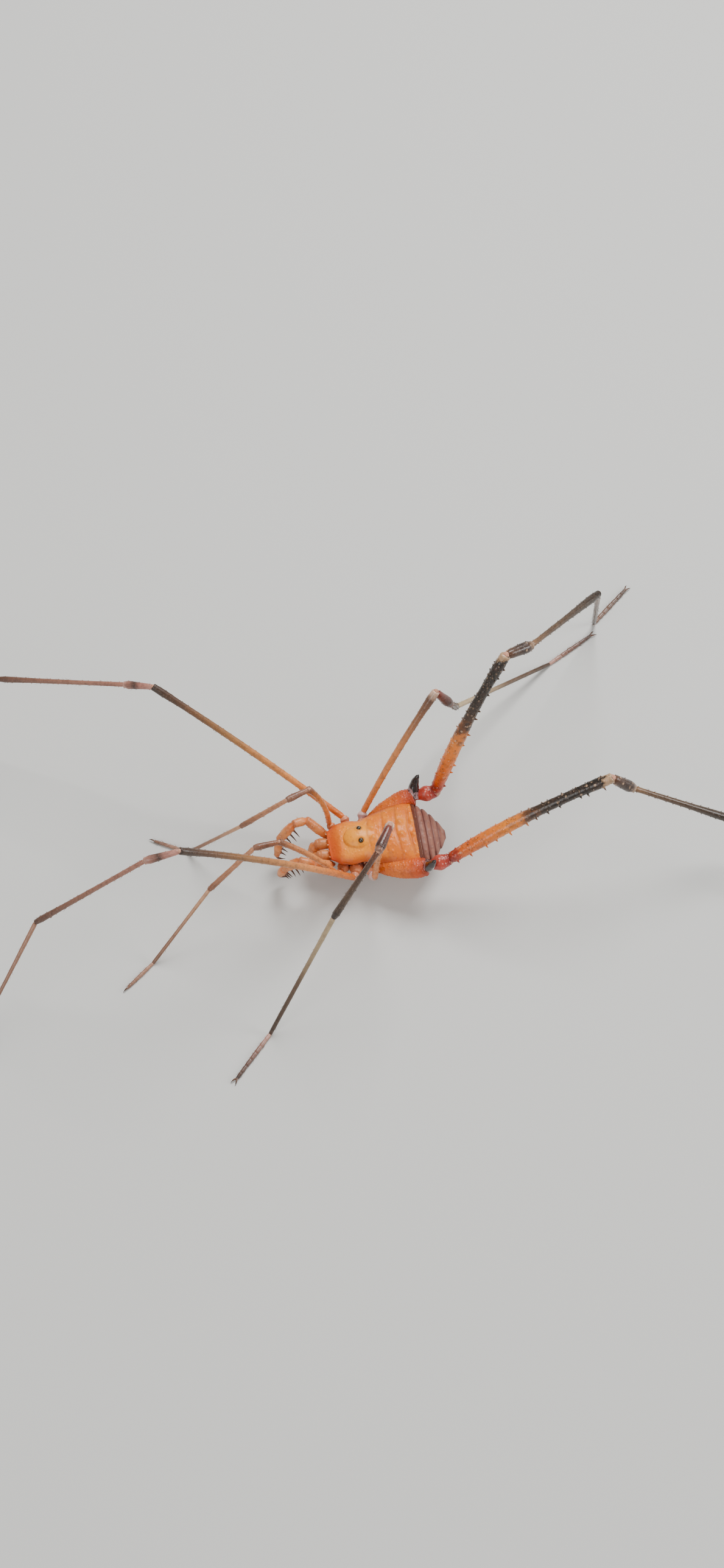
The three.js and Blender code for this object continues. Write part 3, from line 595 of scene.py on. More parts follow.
def shield_finish(looks):
    """Waxy orange shield: paler on the eye mound and along the middle of each area, with painted shade that
    makes the flanks redder and darker, painted shade in the furrows and round the eyes, a dark purple rear
    rim and pale grain tips."""
    f = Finish("shield_orange")
    wide, fine = f.noise(1.1, 3.0), f.noise(0.13, 4.0)
    orange = tuple(looks.shield) + (1.0,)
    colour = f.mix(f.step(wide, 0.38, 0.68) * 0.5, orange, rgb(244, 146, 30))
    # Painted shade: the shield's flanks are made darker and redder, as if turned away from the light.
    colour = f.mix(f.attribute("flank") * 0.75, colour, rgb(184, 72, 10))
    colour = f.mix(f.attribute("mound") * 0.85, colour, tuple(looks.mound) + (1.0,))
    colour = f.mix(f.step(f.uv(), 0.2, 0.03) * 0.7, colour, rgb(200, 62, 12))
    # Painted shade: the furrows and a disc round each eye are darkened as if in shadow.
    colour = f.mix(f.attribute("furrow") * 0.35, colour, rgb(150, 58, 10))
    blotch = f.step(f.noise(0.35, 4.0, 0.65), 0.5, 0.68)
    colour = f.mix(blotch * 0.3, colour, rgb(176, 74, 8))
    colour = f.mix(f.step(f.attribute("tip"), 0.4, 1.0) * 0.3, colour, rgb(246, 184, 108))
    rim = f.step(f.attribute("rim") + (fine - 0.5) * 0.5, 0.35, 0.7)
    colour = f.mix(rim * 0.9, colour, tuple(looks.rim) + (1.0,))
    roughness = 0.44 + (fine - 0.5) * 0.28 + f.attribute("furrow") * 0.12
    normal = f.bump(f.noise(0.045, 3.0), 0.012, 0.4, f.bump(fine, 0.03, 0.45))
    return f.close(colour, roughness, normal, coat=0.1, waxy=0.12, specular=0.4)


def glossy(name, colour, edge, gloss, painted_highlight=None):
    """Wet-looking dark skin mottled with a paler edge colour, with a painted pinkish-white highlight near
    its root.
    """
    f = Finish(name)
    fine = f.noise(0.12, 3.0)
    mixed = f.mix(f.step(fine, 0.45, 0.8) * 0.5, colour, edge)
    if painted_highlight:
        # Painted highlight: a pale patch near the root that stands in for the shine on the spur.
        highlight_share = f.step(f.uv(), 0.5, 0.3) * f.step(f.noise(0.3), 0.44, 0.58)
        mixed = f.mix(highlight_share * 0.6, mixed, painted_highlight)
    return f.close(mixed, gloss + (fine - 0.5) * 0.1, f.bump(fine, 0.012, 0.25), coat=0.6)


def membrane(name, colour, fold):
    """Soft wrinkled joint skin with darker folds."""
    f = Finish(name)
    fine = f.noise(0.1, 4.0)
    mixed = f.mix(f.step(fine, 0.4, 0.7) * 0.6, colour, fold)
    return f.close(mixed, 0.5 + (fine - 0.5) * 0.2, f.bump(fine, 0.03, 0.6), waxy=0.25)


# The usual colours of grain tips and of blotches
PALE = rgb(236, 206, 176)
DARK = rgb(38, 24, 18)

# Colours along each kind of leg piece, as screen values
LEG_COLOURS = {
    (1, "trochanter"): ((0, (206, 104, 50)), (1, (216, 136, 84))),
    (1, "femur"): ((0, (222, 114, 34)), (0.4, (226, 142, 72)), (0.8, (190, 116, 62)), (1, (128, 76, 44))),
    (1, "patella"): ((0, (152, 96, 66)), (0.6, (112, 68, 48)), (1, (136, 92, 70))),
    (1, "tibia"): ((0, (200, 136, 96)), (0.5, (182, 122, 86)), (1, (130, 84, 60))),
    (1, "metatarsus"): ((0, (200, 150, 112)), (0.6, (150, 106, 80)), (1, (116, 80, 60))),
    (1, "tarsus"): ((0, (178, 130, 104)), (1, (120, 84, 66))),
    (2, "trochanter"): ((0, (200, 104, 62)), (1, (212, 136, 98))),
    (2, "femur"): (
        (0, (222, 108, 24)), (0.3, (222, 138, 66)), (0.6, (156, 106, 58)), (0.86, (84, 54, 34)),
        (1, (52, 34, 24)),
    ),
    (2, "patella"): (
        (0, (196, 138, 122)), (0.4, (168, 112, 98)), (0.6, (70, 46, 38)), (0.85, (150, 102, 88)),
        (1, (192, 142, 124)),
    ),
    (2, "tibia"): ((0, (160, 108, 90)), (0.5, (142, 98, 80)), (0.9, (104, 70, 56)), (1, (84, 56, 44))),
    (2, "metatarsus"): ((0, (164, 120, 96)), (0.6, (122, 86, 68)), (1, (88, 62, 50))),
    (2, "tarsus"): ((0, (150, 108, 90)), (1, (92, 64, 52))),
    (3, "trochanter"): ((0, (196, 150, 146)), (1, (214, 178, 170))),
    (3, "femur"): (
        (0, (226, 130, 60)), (0.5, (214, 134, 72)), (0.78, (146, 98, 66)), (0.94, (104, 72, 54)),
        (1, (214, 176, 150)),
    ),
    (3, "patella"): ((0, (124, 46, 28)), (0.5, (88, 34, 22)), (0.9, (60, 28, 20)), (1, (140, 96, 78))),
    (3, "tibia"): ((0, (112, 60, 36)), (0.3, (68, 44, 30)), (0.7, (82, 62, 44)), (1, (46, 33, 25))),
    (3, "metatarsus"): (
        (0, (186, 164, 128)), (0.3, (164, 142, 110)), (0.55, (94, 72, 54)), (1, (60, 44, 34)),
    ),
    (3, "tarsus"): ((0, (192, 144, 128)), (0.4, (120, 84, 72)), (1, (52, 36, 30))),
    (4, "trochanter"): ((0, (184, 44, 28)), (0.6, (200, 66, 46)), (1, (150, 30, 18))),
    (4, "femur"): (
        (0, (132, 26, 14)), (0.06, (182, 52, 16)), (0.14, (224, 104, 12)), (0.4, (238, 132, 26)),
        (0.47, (206, 118, 48)), (0.51, (112, 66, 34)), (0.6, (48, 34, 23)), (0.68, (32, 24, 17)),
        (0.955, (28, 21, 16)), (0.985, (184, 148, 112)),
    ),
    (4, "patella"): (
        (0, (96, 62, 42)), (0.3, (70, 44, 30)), (0.6, (46, 30, 24)), (0.85, (66, 44, 34)),
        (1, (164, 132, 104)),
    ),
    (4, "tibia"): ((0, (130, 94, 62)), (0.2, (92, 68, 48)), (0.7, (60, 46, 34)), (1, (38, 28, 22))),
    (4, "metatarsus"): ((0, (120, 88, 64)), (0.4, (82, 60, 46)), (1, (54, 40, 32))),
    (4, "tarsus"): ((0, (130, 94, 76)), (1, (64, 46, 38))),
}

# Radii in millimetres along each kind of leg piece
PROFILES = {
    (1, "trochanter"): ((0, 0.3), (0.5, 0.36), (1, 0.25)),
    (1, "femur"): ((0, 0.2), (0.1, 0.2), (0.5, 0.21), (0.88, 0.22), (1, 0.25)),
    (1, "patella"): ((0, 0.18), (0.4, 0.22), (0.85, 0.26), (1, 0.22)),
    (1, "tibia"): ((0, 0.17), (0.5, 0.19), (0.92, 0.22), (1, 0.19)),
    (1, "metatarsus"): ((0, 0.15), (0.5, 0.13), (0.95, 0.14), (1, 0.13)),
    (1, "tarsus"): ((0, 0.12), (0.5, 0.14), (0.9, 0.12), (1, 0.08)),
    (2, "trochanter"): ((0, 0.36), (0.5, 0.42), (1, 0.28)),
    (2, "femur"): ((0, 0.25), (0.06, 0.24), (0.45, 0.25), (0.85, 0.24), (0.96, 0.29), (1, 0.27)),
    (2, "patella"): ((0, 0.2), (0.3, 0.24), (0.85, 0.31), (1, 0.25)),
    (2, "tibia"): ((0, 0.18), (0.3, 0.17), (0.7, 0.19), (0.95, 0.24), (1, 0.2)),
    (2, "metatarsus"): ((0, 0.17), (0.5, 0.13), (0.95, 0.13), (1, 0.12)),
    (2, "tarsus"): ((0, 0.12), (0.5, 0.13), (0.9, 0.11), (1, 0.08)),
    (3, "trochanter"): ((0, 0.38), (0.5, 0.44), (1, 0.3)),
    (3, "femur"): ((0, 0.24), (0.06, 0.23), (0.45, 0.25), (0.8, 0.26), (0.95, 0.33), (1, 0.3)),
    (3, "patella"): ((0, 0.24), (0.25, 0.3), (0.8, 0.38), (1, 0.3)),
    (3, "tibia"): ((0, 0.2), (0.25, 0.2), (0.7, 0.24), (0.93, 0.28), (1, 0.22)),
    (3, "metatarsus"): ((0, 0.2), (0.4, 0.17), (0.95, 0.16), (1, 0.14)),
    (3, "tarsus"): ((0, 0.14), (0.4, 0.17), (0.85, 0.14), (1, 0.1)),
    (4, "trochanter"): ((0, 0.5), (0.5, 0.6), (1, 0.44)),
    (4, "femur"): (
        (0, 0.44), (0.05, 0.45), (0.22, 0.52), (0.42, 0.5), (0.6, 0.4), (0.78, 0.37), (0.93, 0.43),
        (1, 0.38),
    ),
    (4, "patella"): ((0, 0.3), (0.25, 0.38), (0.8, 0.44), (1, 0.34)),
    (4, "tibia"): ((0, 0.23), (0.12, 0.2), (0.5, 0.23), (0.9, 0.32), (1, 0.26)),
    (4, "metatarsus"): ((0, 0.22), (0.4, 0.18), (0.95, 0.17), (1, 0.15)),
    (4, "tarsus"): ((0, 0.15), (0.4, 0.18), (0.85, 0.15), (1, 0.1)),
}
FEMUR_BOW = {1: 0.35, 2: 0.35, 3: 0.35, 4: 0.55}


def point_way(side, yaw, pitch):
    """The way at yaw degrees from straight sideways towards the rear and pitch degrees upwards."""
    yaw, pitch = math.radians(yaw), math.radians(pitch)
    across, back = math.cos(pitch) * math.cos(yaw), math.cos(pitch) * math.sin(yaw)
    return np.array([side * across, back, math.sin(pitch)])


def leg_joints(name):
    """The leg's joints from the hip's end to the tip of the tarsus: each the last one plus the
    piece's length along its way; the metatarsus falls to the height at which the foot rests."""
    pair, side = int(name.split("_")[1]), SIDES[name.split("_")[2]]
    hip = HIND_HIP[1] if pair == 4 else HIPS[pair][0]
    joints = [mirrored(hip, side), mirrored(THIGH_START[pair], side)]
    joints[0] = joints[0] + unit(joints[1] - joints[0]) * HIP_SLIT
    pose, lengths = POSES[name], LEG_LENGTHS[pair]
    for (yaw, pitch), length in zip(pose[:3], lengths):
        joints.append(joints[-1] + point_way(side, yaw, pitch) * length)
    fall = math.degrees(math.asin((FOOT_REST - joints[-1][2]) / lengths[3]))
    joints.append(joints[-1] + point_way(side, pose[3], fall) * lengths[3])
    joints.append(joints[-1] + point_way(side, pose[4], 0) * lengths[4])
    return joints


# Body


def shield_height(x, y):
    """The shield's height and how deep its furrows are from 0 to 1. The height is that of its wall,
    plus the crown times one less the share of the half-width to the power 2.6, to the power 0.62,
    less a dip at each furrow that fades outwards."""
    share = np.clip(np.abs(x) / along(SHIELD_HALF_WIDTH, y), 0, 1)
    crown = along(SHIELD_TOP, y) - SHIELD_RIM - SHIELD_WALL
    dip = sum(np.exp(-(((y - g - 0.12 * np.abs(x)) / 0.1) ** 2)) for g in GROOVES)
    height = SHIELD_RIM + SHIELD_WALL + crown * (1 - share**2.6) ** 0.62
    return height - 0.05 * dip * (1 - share**3), dip * (1 - share**4)


def shield_knobs(x, y):
    """The shield's raised grains, and where painted shade goes round its eyes: the highest of bell curves
    over each row of grains, the larger pair in its middle and a ring round each eye, and a disc over each
    eye that only darkens the colour."""
    knobs = np.zeros_like(x)
    for row, gy in enumerate(GRAIN_ROWS):
        reach = along(SHIELD_HALF_WIDTH, gy) * 0.86
        count = 4 + row
        spots = [(-reach + 2 * reach * (i + 0.5) / count, gy, 0.07, 0.11) for i in range(count)]
        spots += [(s * (0.42 + row * 0.05), gy - 0.05, 0.2, 0.17) for s in (-1, 1)]
        for px, py, high, wide in spots:
            knobs = np.maximum(knobs, high * np.exp(-(((x - px) ** 2 + (y - py) ** 2) / wide**2)))
    # socket is painted shade in a disc round each eye; the shape has no hollow there.
    socket = np.zeros_like(x)
    for side in SIDES.values():
        away = np.hypot(x - side * EYE[0], y - EYE[1])
        knobs = np.maximum(knobs, 0.04 * np.exp(-(((away - 0.27) / 0.07) ** 2)))
        socket = np.maximum(socket, 2.0 * np.exp(-((away / 0.25) ** 4)))
    return knobs, socket


def build_shield(looks, sizes):
    """The shield: rings across the back from front to rear, whose upper half follows
    shield_height joined smoothly with the eye mound's ellipsoid and whose lower half is the flat
    underside, closed by shrinking rings at both ends, with rows of raised grains."""
    rows, caps, sides = 230, 7, 240
    y = np.pad(np.linspace(SHIELD_FRONT, SHIELD_REAR, rows), caps, mode="edge")
    k = np.linspace(1, 0, caps)
    closing = np.sqrt(1 - (k * 0.995) ** 2)
    shrink = np.concatenate([closing, np.ones(rows), closing[::-1]])[:, None]
    push = np.concatenate([-0.14 * k, np.zeros(rows), 0.1 * k[::-1]])[:, None]
    a, yy = np.meshgrid(even_turns(sides), y)
    upper, across, under = np.sin(a) >= 0, np.abs(np.cos(a)), np.abs(np.sin(a))
    x = along(SHIELD_HALF_WIDTH, yy) * np.cos(a)
    base, dip = shield_height(x, yy)
    (cx, cy, cz), (rx, ry, rz) = MOUND
    inside = 1 - ((x - cx) / rx) ** 2 - ((yy - cy) / ry) ** 2
    dome = np.where(inside > 0, cz + rz * np.sqrt(np.maximum(inside, 0)), cz - 1)
    soft = 0.15
    top = np.where(upper, np.logaddexp(base / soft, dome / soft) * soft, base)
    mound = smooth((dome - base) / 0.25 + 0.5) * upper
    patch = np.exp(-((np.abs(x) / 1.35) ** 4) - ((yy + 1.35) / 1.1) ** 4) * upper
    bumps = grains(x, yy, 0.26, 0.42, 3, 0, 0.35)
    knobs, socket = shield_knobs(x, yy)
    edge = smooth((1 - across) / 0.04)
    top = top + (knobs + sizes.grain_height * bumps * (1 - 0.6 * mound)) * edge
    low = SHIELD_RIM + SHIELD_WALL * (1 - under**0.3)
    z = np.where(upper, top, low)
    extra = {
        "rim": np.maximum(smooth((yy - 2.93) / 0.2), smooth((across - 0.985) / 0.012) * 0.3 * (yy > 0.5)),
        "mound": np.maximum(mound, patch),
        # furrow marks the furrows and eye discs that get painted shade.
        "furrow": (np.clip(dip, 0, 1) + socket) * upper,
        # Where the painted shade on the shield's flanks goes.
        "flank": smooth((across - 0.72) / 0.25),
    }
    extra = {key: np.append(values, [0, 0]) for key, values in extra.items()}
    x = np.where(upper, x, x * (1 - 0.03 * under))
    middle = 3.15
    points = np.stack([x * shrink, yy + push, middle + (z - middle) * shrink], -1)
    s = Surface()
    s.tube(points, np.linspace(0, 1, len(y)), np.clip(knobs / 0.2 + bumps * 0.35, 0, 1) * upper)
    s.finish("shield", shield_finish(looks), "orange_shield", "scutum", extra=extra)
    front = Surface()
    px = -1.0 + 0.5 * np.arange(5)
    roots = np.stack([px, np.full(5, SHIELD_FRONT + 0.02), 3.2 - 0.1 * np.abs(px)], -1)
    front.spikes(roots, np.tile([0, -1, 0.5], (5, 1)), 0.26, 0.1, 0.2, sides=10)
    skin = cuticle("front_teeth", ((0, (224, 136, 70)), (1, (240, 180, 120))), DARK, PALE)
    front.finish("shield_front_teeth", skin, "orange_shield")


def build_eyes():
    """Dark olive balls on the sides of the eye mound."""
    material = glossy("eye_olive", rgb(40, 33, 14), rgb(96, 86, 44), 0.08)
    for name, side in SIDES.items():
        s = Surface()
        ball(s, mirrored(EYE, side), (EYE_RADIUS,) * 3, 28, 36, (side, 0.1, 0.6))
        s.finish("eye_lens_" + name, material, "eye_cuticle", "eye_" + name)


def build_rings():
    """Free rings of the hind body: elliptic rings from front to rear whose edges roll in, with a
    row of tubercles and fine grains, dusty mauve."""
    mauve = (
        (0, (66, 30, 30)), (0.18, (124, 72, 60)), (0.6, (156, 100, 80)), (0.9, (136, 82, 68)),
        (1, (80, 42, 38)),
    )
    material = cuticle(
        "ring_mauve", mauve, rgb(92, 54, 52), rgb(196, 154, 138),
        mottle=0.35, gloss=0.5, coat=0.0, tips=0.2,
    )
    rows, sides = 44, 150
    t = np.linspace(0, 1, rows)
    a, tt = np.meshgrid(even_turns(sides), t)
    for i, node in enumerate(RING_NODES):
        start = RING_Y[i] - (0.12 if i == 0 else 0.06)
        end = RING_Y[i + 1] + 0.02
        yy = start + (end - start) * tt
        half, top, low = along(RING_HALF_WIDTH, yy), along(RING_TOP, yy), along(RING_LOW, yy)
        swell = 0.9 + 0.13 * np.sin(np.pi * np.clip(tt, 0, 1)) ** 0.5 + 0.03 * smooth(tt / 0.9)
        if node == "anal_plate":
            roll = np.sqrt(np.clip(1 - tt**4, 0.03, 1))
        else:
            roll = np.sqrt(np.clip(1 - (np.clip(tt - 0.86, 0, 1) / 0.145) ** 2, 0.05, 1))
        bumps = grains(yy, a * half, 0.17, 0.42, 11 + i, 0, 0.3)
        knobs = np.zeros_like(a)
        count = 7 - i * 2
        for k in range(count):
            angle = math.radians(50 + 80 * (k / (count - 1) if count > 1 else 0.5))
            d = ((a - angle) * half) ** 2 + (yy - (start + (end - start) * 0.62)) ** 2
            knobs = np.maximum(knobs, np.exp(-d / 0.1**2))
        scale = swell * (0.86 + 0.14 * roll)
        extra = 0.012 * bumps + 0.06 * knobs
        z = (top + low) / 2 + ((top - low) / 2 * scale + extra) * np.sin(a)
        s = Surface()
        points = np.stack([(half * scale + extra) * np.cos(a), yy, z], -1)
        s.tube(points, t, np.clip(knobs + bumps * 0.3, 0, 1))
        s.finish("hind_body_" + node, material, "mauve_tergites", node)


def build_belly():
    """Underside: a rounded core whose height dips between its plates, and the first three pairs of
    hips as grained bulbs set side by side."""
    brown = rgb(120, 66, 40)
    looks = {"dark": brown, "pale": PALE, "mottle": 0.3, "gloss": 0.48, "coat": 0.05, "waxy": 0.15}
    colours = ((0, (84, 44, 46)), (0.7, (104, 54, 50)), (0.86, (190, 92, 44)), (1, (212, 128, 78)))
    tan = cuticle("belly_tan", colours, **looks)
    plates = cuticle("belly_plates_tan", ((0, (196, 116, 70)), (1, (180, 116, 80))), **looks)
    rows, sides = 60, 90
    front, length = -2.75, 6.1
    t = np.linspace(0, 1, rows)
    a, y = np.meshgrid(even_turns(sides), front + length * t)
    half, low = along(BELLY_HALF_WIDTH, y), along(BELLY_LOW, y)
    low = low + 0.05 * np.exp(-(((np.mod(y * 1.6, 1) - 0.5) / 0.12) ** 2)) * (y > 0.9)
    z = (BELLY_TOP + low) / 2 + (BELLY_TOP - low) / 2 * np.sin(a)
    s = Surface()
    s.tube(np.stack([half * np.cos(a), y, z], -1), t)
    s.finish("belly_plates", plates, "belly_cuticle", "belly")
    for name, side in SIDES.items():
        for pair, (foot, root, radius) in HIPS.items():
            profile = ((0, radius * 0.92), (0.5, radius), (0.85, radius * 0.92), (1, radius * 0.7))
            rough = (0.2, 0.035, 0.42, pair, 0.2)
            s = Surface()
            segment(s, mirrored(root, side), mirrored(foot, side), profile, 60, 56, neck=0.8, rough=rough)
            s.finish(f"hip_{pair}_{name}", tan, "belly_cuticle", "belly")


def build_hind_hips(looks):
    """The last hips: big grained bulbs that flank the shield, each with a curved black spur. Their
    outline is carried along a bowed path and closes in a round cap at both ends."""
    colours = ((0, (196, 88, 12)), (0.45, (222, 108, 8)), (0.8, (204, 76, 14)), (1, (160, 40, 24)))
    skin = cuticle(
        "hip_orange", colours, rgb(140, 50, 10), rgb(240, 170, 96),
        mottle=0.35, spread=0.06, gloss=0.44, coat=0.08, waxy=0.12, tips=0.18,
    )
    # The spur's last colour is a painted pinkish-white highlight near its root.
    black = glossy("spur_black", tuple(looks.spur) + (1.0,), rgb(92, 62, 66), 0.14, rgb(206, 168, 172))
    rows, sides = 110, 96
    spacing, around = 0.22, 24
    t = np.linspace(0, 1, rows)
    r = along(HIND_HIP_OUTLINE, t)
    r = r * np.sqrt(np.clip(1 - (np.clip(0.1 - t, 0, 1) / 0.101) ** 2, 0.03, 1))
    r = r * np.sqrt(np.clip(1 - (np.clip(t - 0.93, 0, 1) / 0.0705) ** 2, 0.03, 1))
    x, y = np.meshgrid(t * 4.2, even_turns(sides) / (2 * np.pi) * around * spacing, indexing="ij")
    bumps = grains(x, y, spacing, 0.44, 21, around, 0.15) * smooth(t / 0.15)[:, None]
    for name, side in SIDES.items():
        a, b = (mirrored(point, side) for point in HIND_HIP)
        path = curve(a, (a + b) / 2 + mirrored((2 * HIND_HIP_BOW, 0, 0), side), b, rows)
        out, high = frames(path, (0, 0, 1))
        s = Surface()
        rings = path[:, None] + (r[:, None] + 0.05 * bumps)[..., None] * circles(out, high, sides)
        s.tube(rings, t, bumps)
        s.finish("hind_hip_" + name, skin, "orange_coxa", "coxa_4_" + name)
        s = Surface()
        base, tip = (mirrored(point, side) for point in SPUR)
        base = base + mirrored((-0.12, 0, -0.4), side)
        bend = (base + tip) / 2 + mirrored((0.4, -0.2, 0), side)
        horn(s, base, bend, tip, SPUR_PROFILE, 60, 32, up=(0, 1, 0.1))
        s.finish("hind_hip_spur_" + name, black, "orange_coxa", "coxa_4_" + name)


# Mouthparts


def build_jaws():
    """Jaws: a basal bulb and a drooping hand with a fixed and a moving toothed finger."""
    peach = cuticle(
        "jaw_peach", ((0, (216, 120, 52)), (0.6, (226, 146, 82)), (1, (206, 124, 70))),
        rgb(150, 80, 44), PALE, coat=0.1, waxy=0.2,
    )
    horny = cuticle(
        "jaw_finger", ((0, (206, 130, 84)), (0.5, (150, 84, 52)), (1, (54, 30, 22))),
        DARK, PALE, mottle=0.2, gloss=0.3, coat=0.2,
    )
    bulb = ((0, 0.28), (0.4, 0.4), (0.8, 0.44), (1, 0.36))
    palm = ((0, 0.3), (0.3, 0.46), (0.75, 0.42), (1, 0.28))
    for name, side in SIDES.items():
        start, elbow, end = (mirrored(point, side) for point in JAW_JOINTS)
        wrist = elbow + (end - elbow) * 0.62
        s = Surface()
        skin = segment(s, start, elbow, bulb, 60, 44, neck=0.8, rough=(0.16, 0.02, 0.4, 31, 0.4))
        hairs(s, skin, 16, 0.16, 7, 0.8)
        s.finish("jaw_base_" + name, peach, "mouth_cuticle", "chelicera_base_" + name)
        s = Surface()
        skin = segment(s, elbow, wrist, palm, 60, 44, neck=0.8, rough=(0.16, 0.02, 0.4, 33, 0.4))
        hairs(s, skin, 24, 0.2, 9, 0.8)
        s.finish("jaw_hand_" + name, peach, "mouth_cuticle", "chelicera_hand_" + name)
        s = Surface()
        for offset, back in ((0.16, -0.04), (-0.16, 0.06)):
            a = elbow + (end - elbow) * 0.5 + mirrored((offset, 0, 0), side)
            c = end + mirrored((offset * 0.55, back, 0), side)
            b = (a + c) / 2 + mirrored((offset * 0.8, 0, 0), side)
            horn(s, a, b, c, ((0, 0.2), (0.6, 0.13), (1, 0.03)), 24, 16, up=(0, 1, 0))
            teeth = a + (c - a) * np.array([[0.45], [0.6], [0.75]]) - mirrored((offset * 0.3, 0, 0), side)
            s.spikes(teeth, np.tile(mirrored((-offset, 0, -0.1), side), (3, 1)), 0.1, 0.05, 0.8)
        s.finish("jaw_fingers_" + name, horny, "mouth_cuticle", "chelicera_hand_" + name)


def build_palps():
    """Pedipalps: thigh, knee, spiny shin and foot, with a long curved claw."""
    peach = cuticle(
        "palp_peach", ((0, (214, 108, 40)), (0.5, (228, 144, 78)), (1, (200, 116, 62))),
        rgb(140, 72, 38), PALE, mottle=0.3, spread=0.06, coat=0.1, waxy=0.2,
    )
    horny = cuticle(
        "palp_spine", ((0, (150, 88, 58)), (1, (50, 30, 22))),
        DARK, rgb(40, 26, 20), mottle=0.2, gloss=0.28, coat=0.3, waxy=0.0,
    )
    pieces = (("femur", "femur"), ("patella", "tibia"), ("tibia", "tibia"), ("tarsus", "tarsus"))
    spine_heights = {"tibia": (0.75, 0.8, 0.7), "tarsus": (0.62, 0.6, 0.5)}
    for name, side in SIDES.items():
        joints = [mirrored(point, side) for point in PALP_JOINTS]
        spines = Surface()
        for i, (part, node) in enumerate(pieces):
            start, end = joints[i : i + 2]
            profile = tuple(zip((0, 0.5, 1), PALP_RADII[i]))
            s = Surface()
            skin = segment(s, start, end, profile, 64, 44, rough=(0.2, 0.03, 0.42, 41 + i, 0.35))
            hairs(s, skin, 26, 0.2, 51 + i, 0.8)
            s.finish(f"palp_{part}_{name}", peach, "mouth_cuticle", f"pedipalp_{name}_{node}")
            if part not in spine_heights:
                continue
            way = unit(end - start)
            across = unit(np.array([1.0, 0, 0]) - way * way[0])
            down = np.cross(way, across)
            down = -down if down[2] > 0 else down
            shares = np.array([0.25, 0.5, 0.75])[:, None]
            for edge in (-1, 1):
                out = unit(across * edge * 0.8 + down)
                roots = start + (end - start) * shares + out * PALP_RADII[i][1] * 0.85
                ways, heights = np.tile(out, (3, 1)), spine_heights[part]
                spines.spikes(roots, ways, heights, 0.085, 0.8, sides=10, sunk=0.25, curl=0.15, towards=way)
                spines.spikes(roots, ways, 0.14, 0.14, 0.0, sides=10, sunk=0.8)
        palm = joints[4] - unit(joints[4] - joints[3]) * 0.2
        bend = joints[4] + mirrored((-0.05, -0.2, -0.5), side)
        tip = joints[4] + mirrored((-0.05, 0.62, -0.62), side)
        horn(spines, palm, bend, tip, ((0, 0.14), (0.5, 0.1), (1, 0.015)), 30, 14, up=(1, 0, 0))
        nodes = (f"pedipalp_{name}_tibia", f"pedipalp_{name}_tarsus")
        spines.finish("palp_spines_" + name, horny, "mouth_cuticle", *nodes)


# Legs

# Grains of each piece: spacing, height, width, seed and the share left out
ROUGH = {
    "trochanter": (0.2, 0.04, 0.42, 61, 0.1),
    "femur": (0.16, 0.018, 0.42, 63, 0.3),
    "patella": (0.15, 0.016, 0.42, 65, 0.3),
    "tibia": (0.14, 0.008, 0.4, 67, 0.4),
}
# Hairs of each piece: number to the millimetre, share of the hairs' length, and lean
HAIRS = {
    "femur": (4, 0.8, 0.9),
    "patella": (4, 0.8, 0.9),
    "tibia": (7, 1.0, 1.2),
    "metatarsus": (7, 1.0, 1.2),
    "tarsus": (20, 1.0, 1.2),
}
# Rows of spines and of warts along the last femur: angle from the top in degrees, number, height
# and radius. The spines' angles are those of the left side.
FEMUR_SPINES = ((115, 12, 0.24, 0.1), (-115, 10, 0.2, 0.1), (35, 9, 0.13, 0.1), (-35, 9, 0.13, 0.1))
FEMUR_WARTS = (
    (0, 12, 0.1, 0.08), (75, 12, 0.12, 0.08), (-75, 12, 0.12, 0.08), (160, 14, 0.14, 0.08),
    (-160, 14, 0.14, 0.08),
)
NODE_OF = {"metatarsus": "foot", "tarsus": "foot"}
SLOT_OF = {
    "trochanter": "red_trochanter", "femur": "pale_femur", "patella": "dark_patella",
    "tibia": "brown_tibia", "metatarsus": "foot_cuticle", "tarsus": "foot_cuticle",
}
PIECES = tuple(SLOT_OF)


def leg_finishes():
    """The skin of each kind of leg piece. The last femur's dark patches thicken at its middle."""
    made = {}
    for (pair, piece), colours in LEG_COLOURS.items():
        hind_femur = (pair, piece) == (4, "femur")
        made[pair, piece] = cuticle(
            f"leg_{pair}_{piece}_skin", colours,
            rgb(52, 36, 28) if piece in ("femur", "tibia", "patella") else rgb(96, 64, 48),
            rgb(244, 190, 176) if piece == "trochanter" else rgb(214, 176, 142),
            mottle=0.3,
            spread=0.07 if hind_femur else 0.03 if piece == "femur" else 0.05,
            gloss=0.34 if pair > 2 else 0.42,
            coat=0.25,
            waxy=0.08,
            freckles=0.55 if hind_femur else 0.3,
            tips={4: 0.7, 3: 0.5}.get(pair, 0.2) if piece == "trochanter" else 0.18,
            specks=0.6 if pair == 4 and piece in ("femur", "patella") else 0.0,
            patches=(0.33, 0.5) if hind_femur else None,
        )
    return made


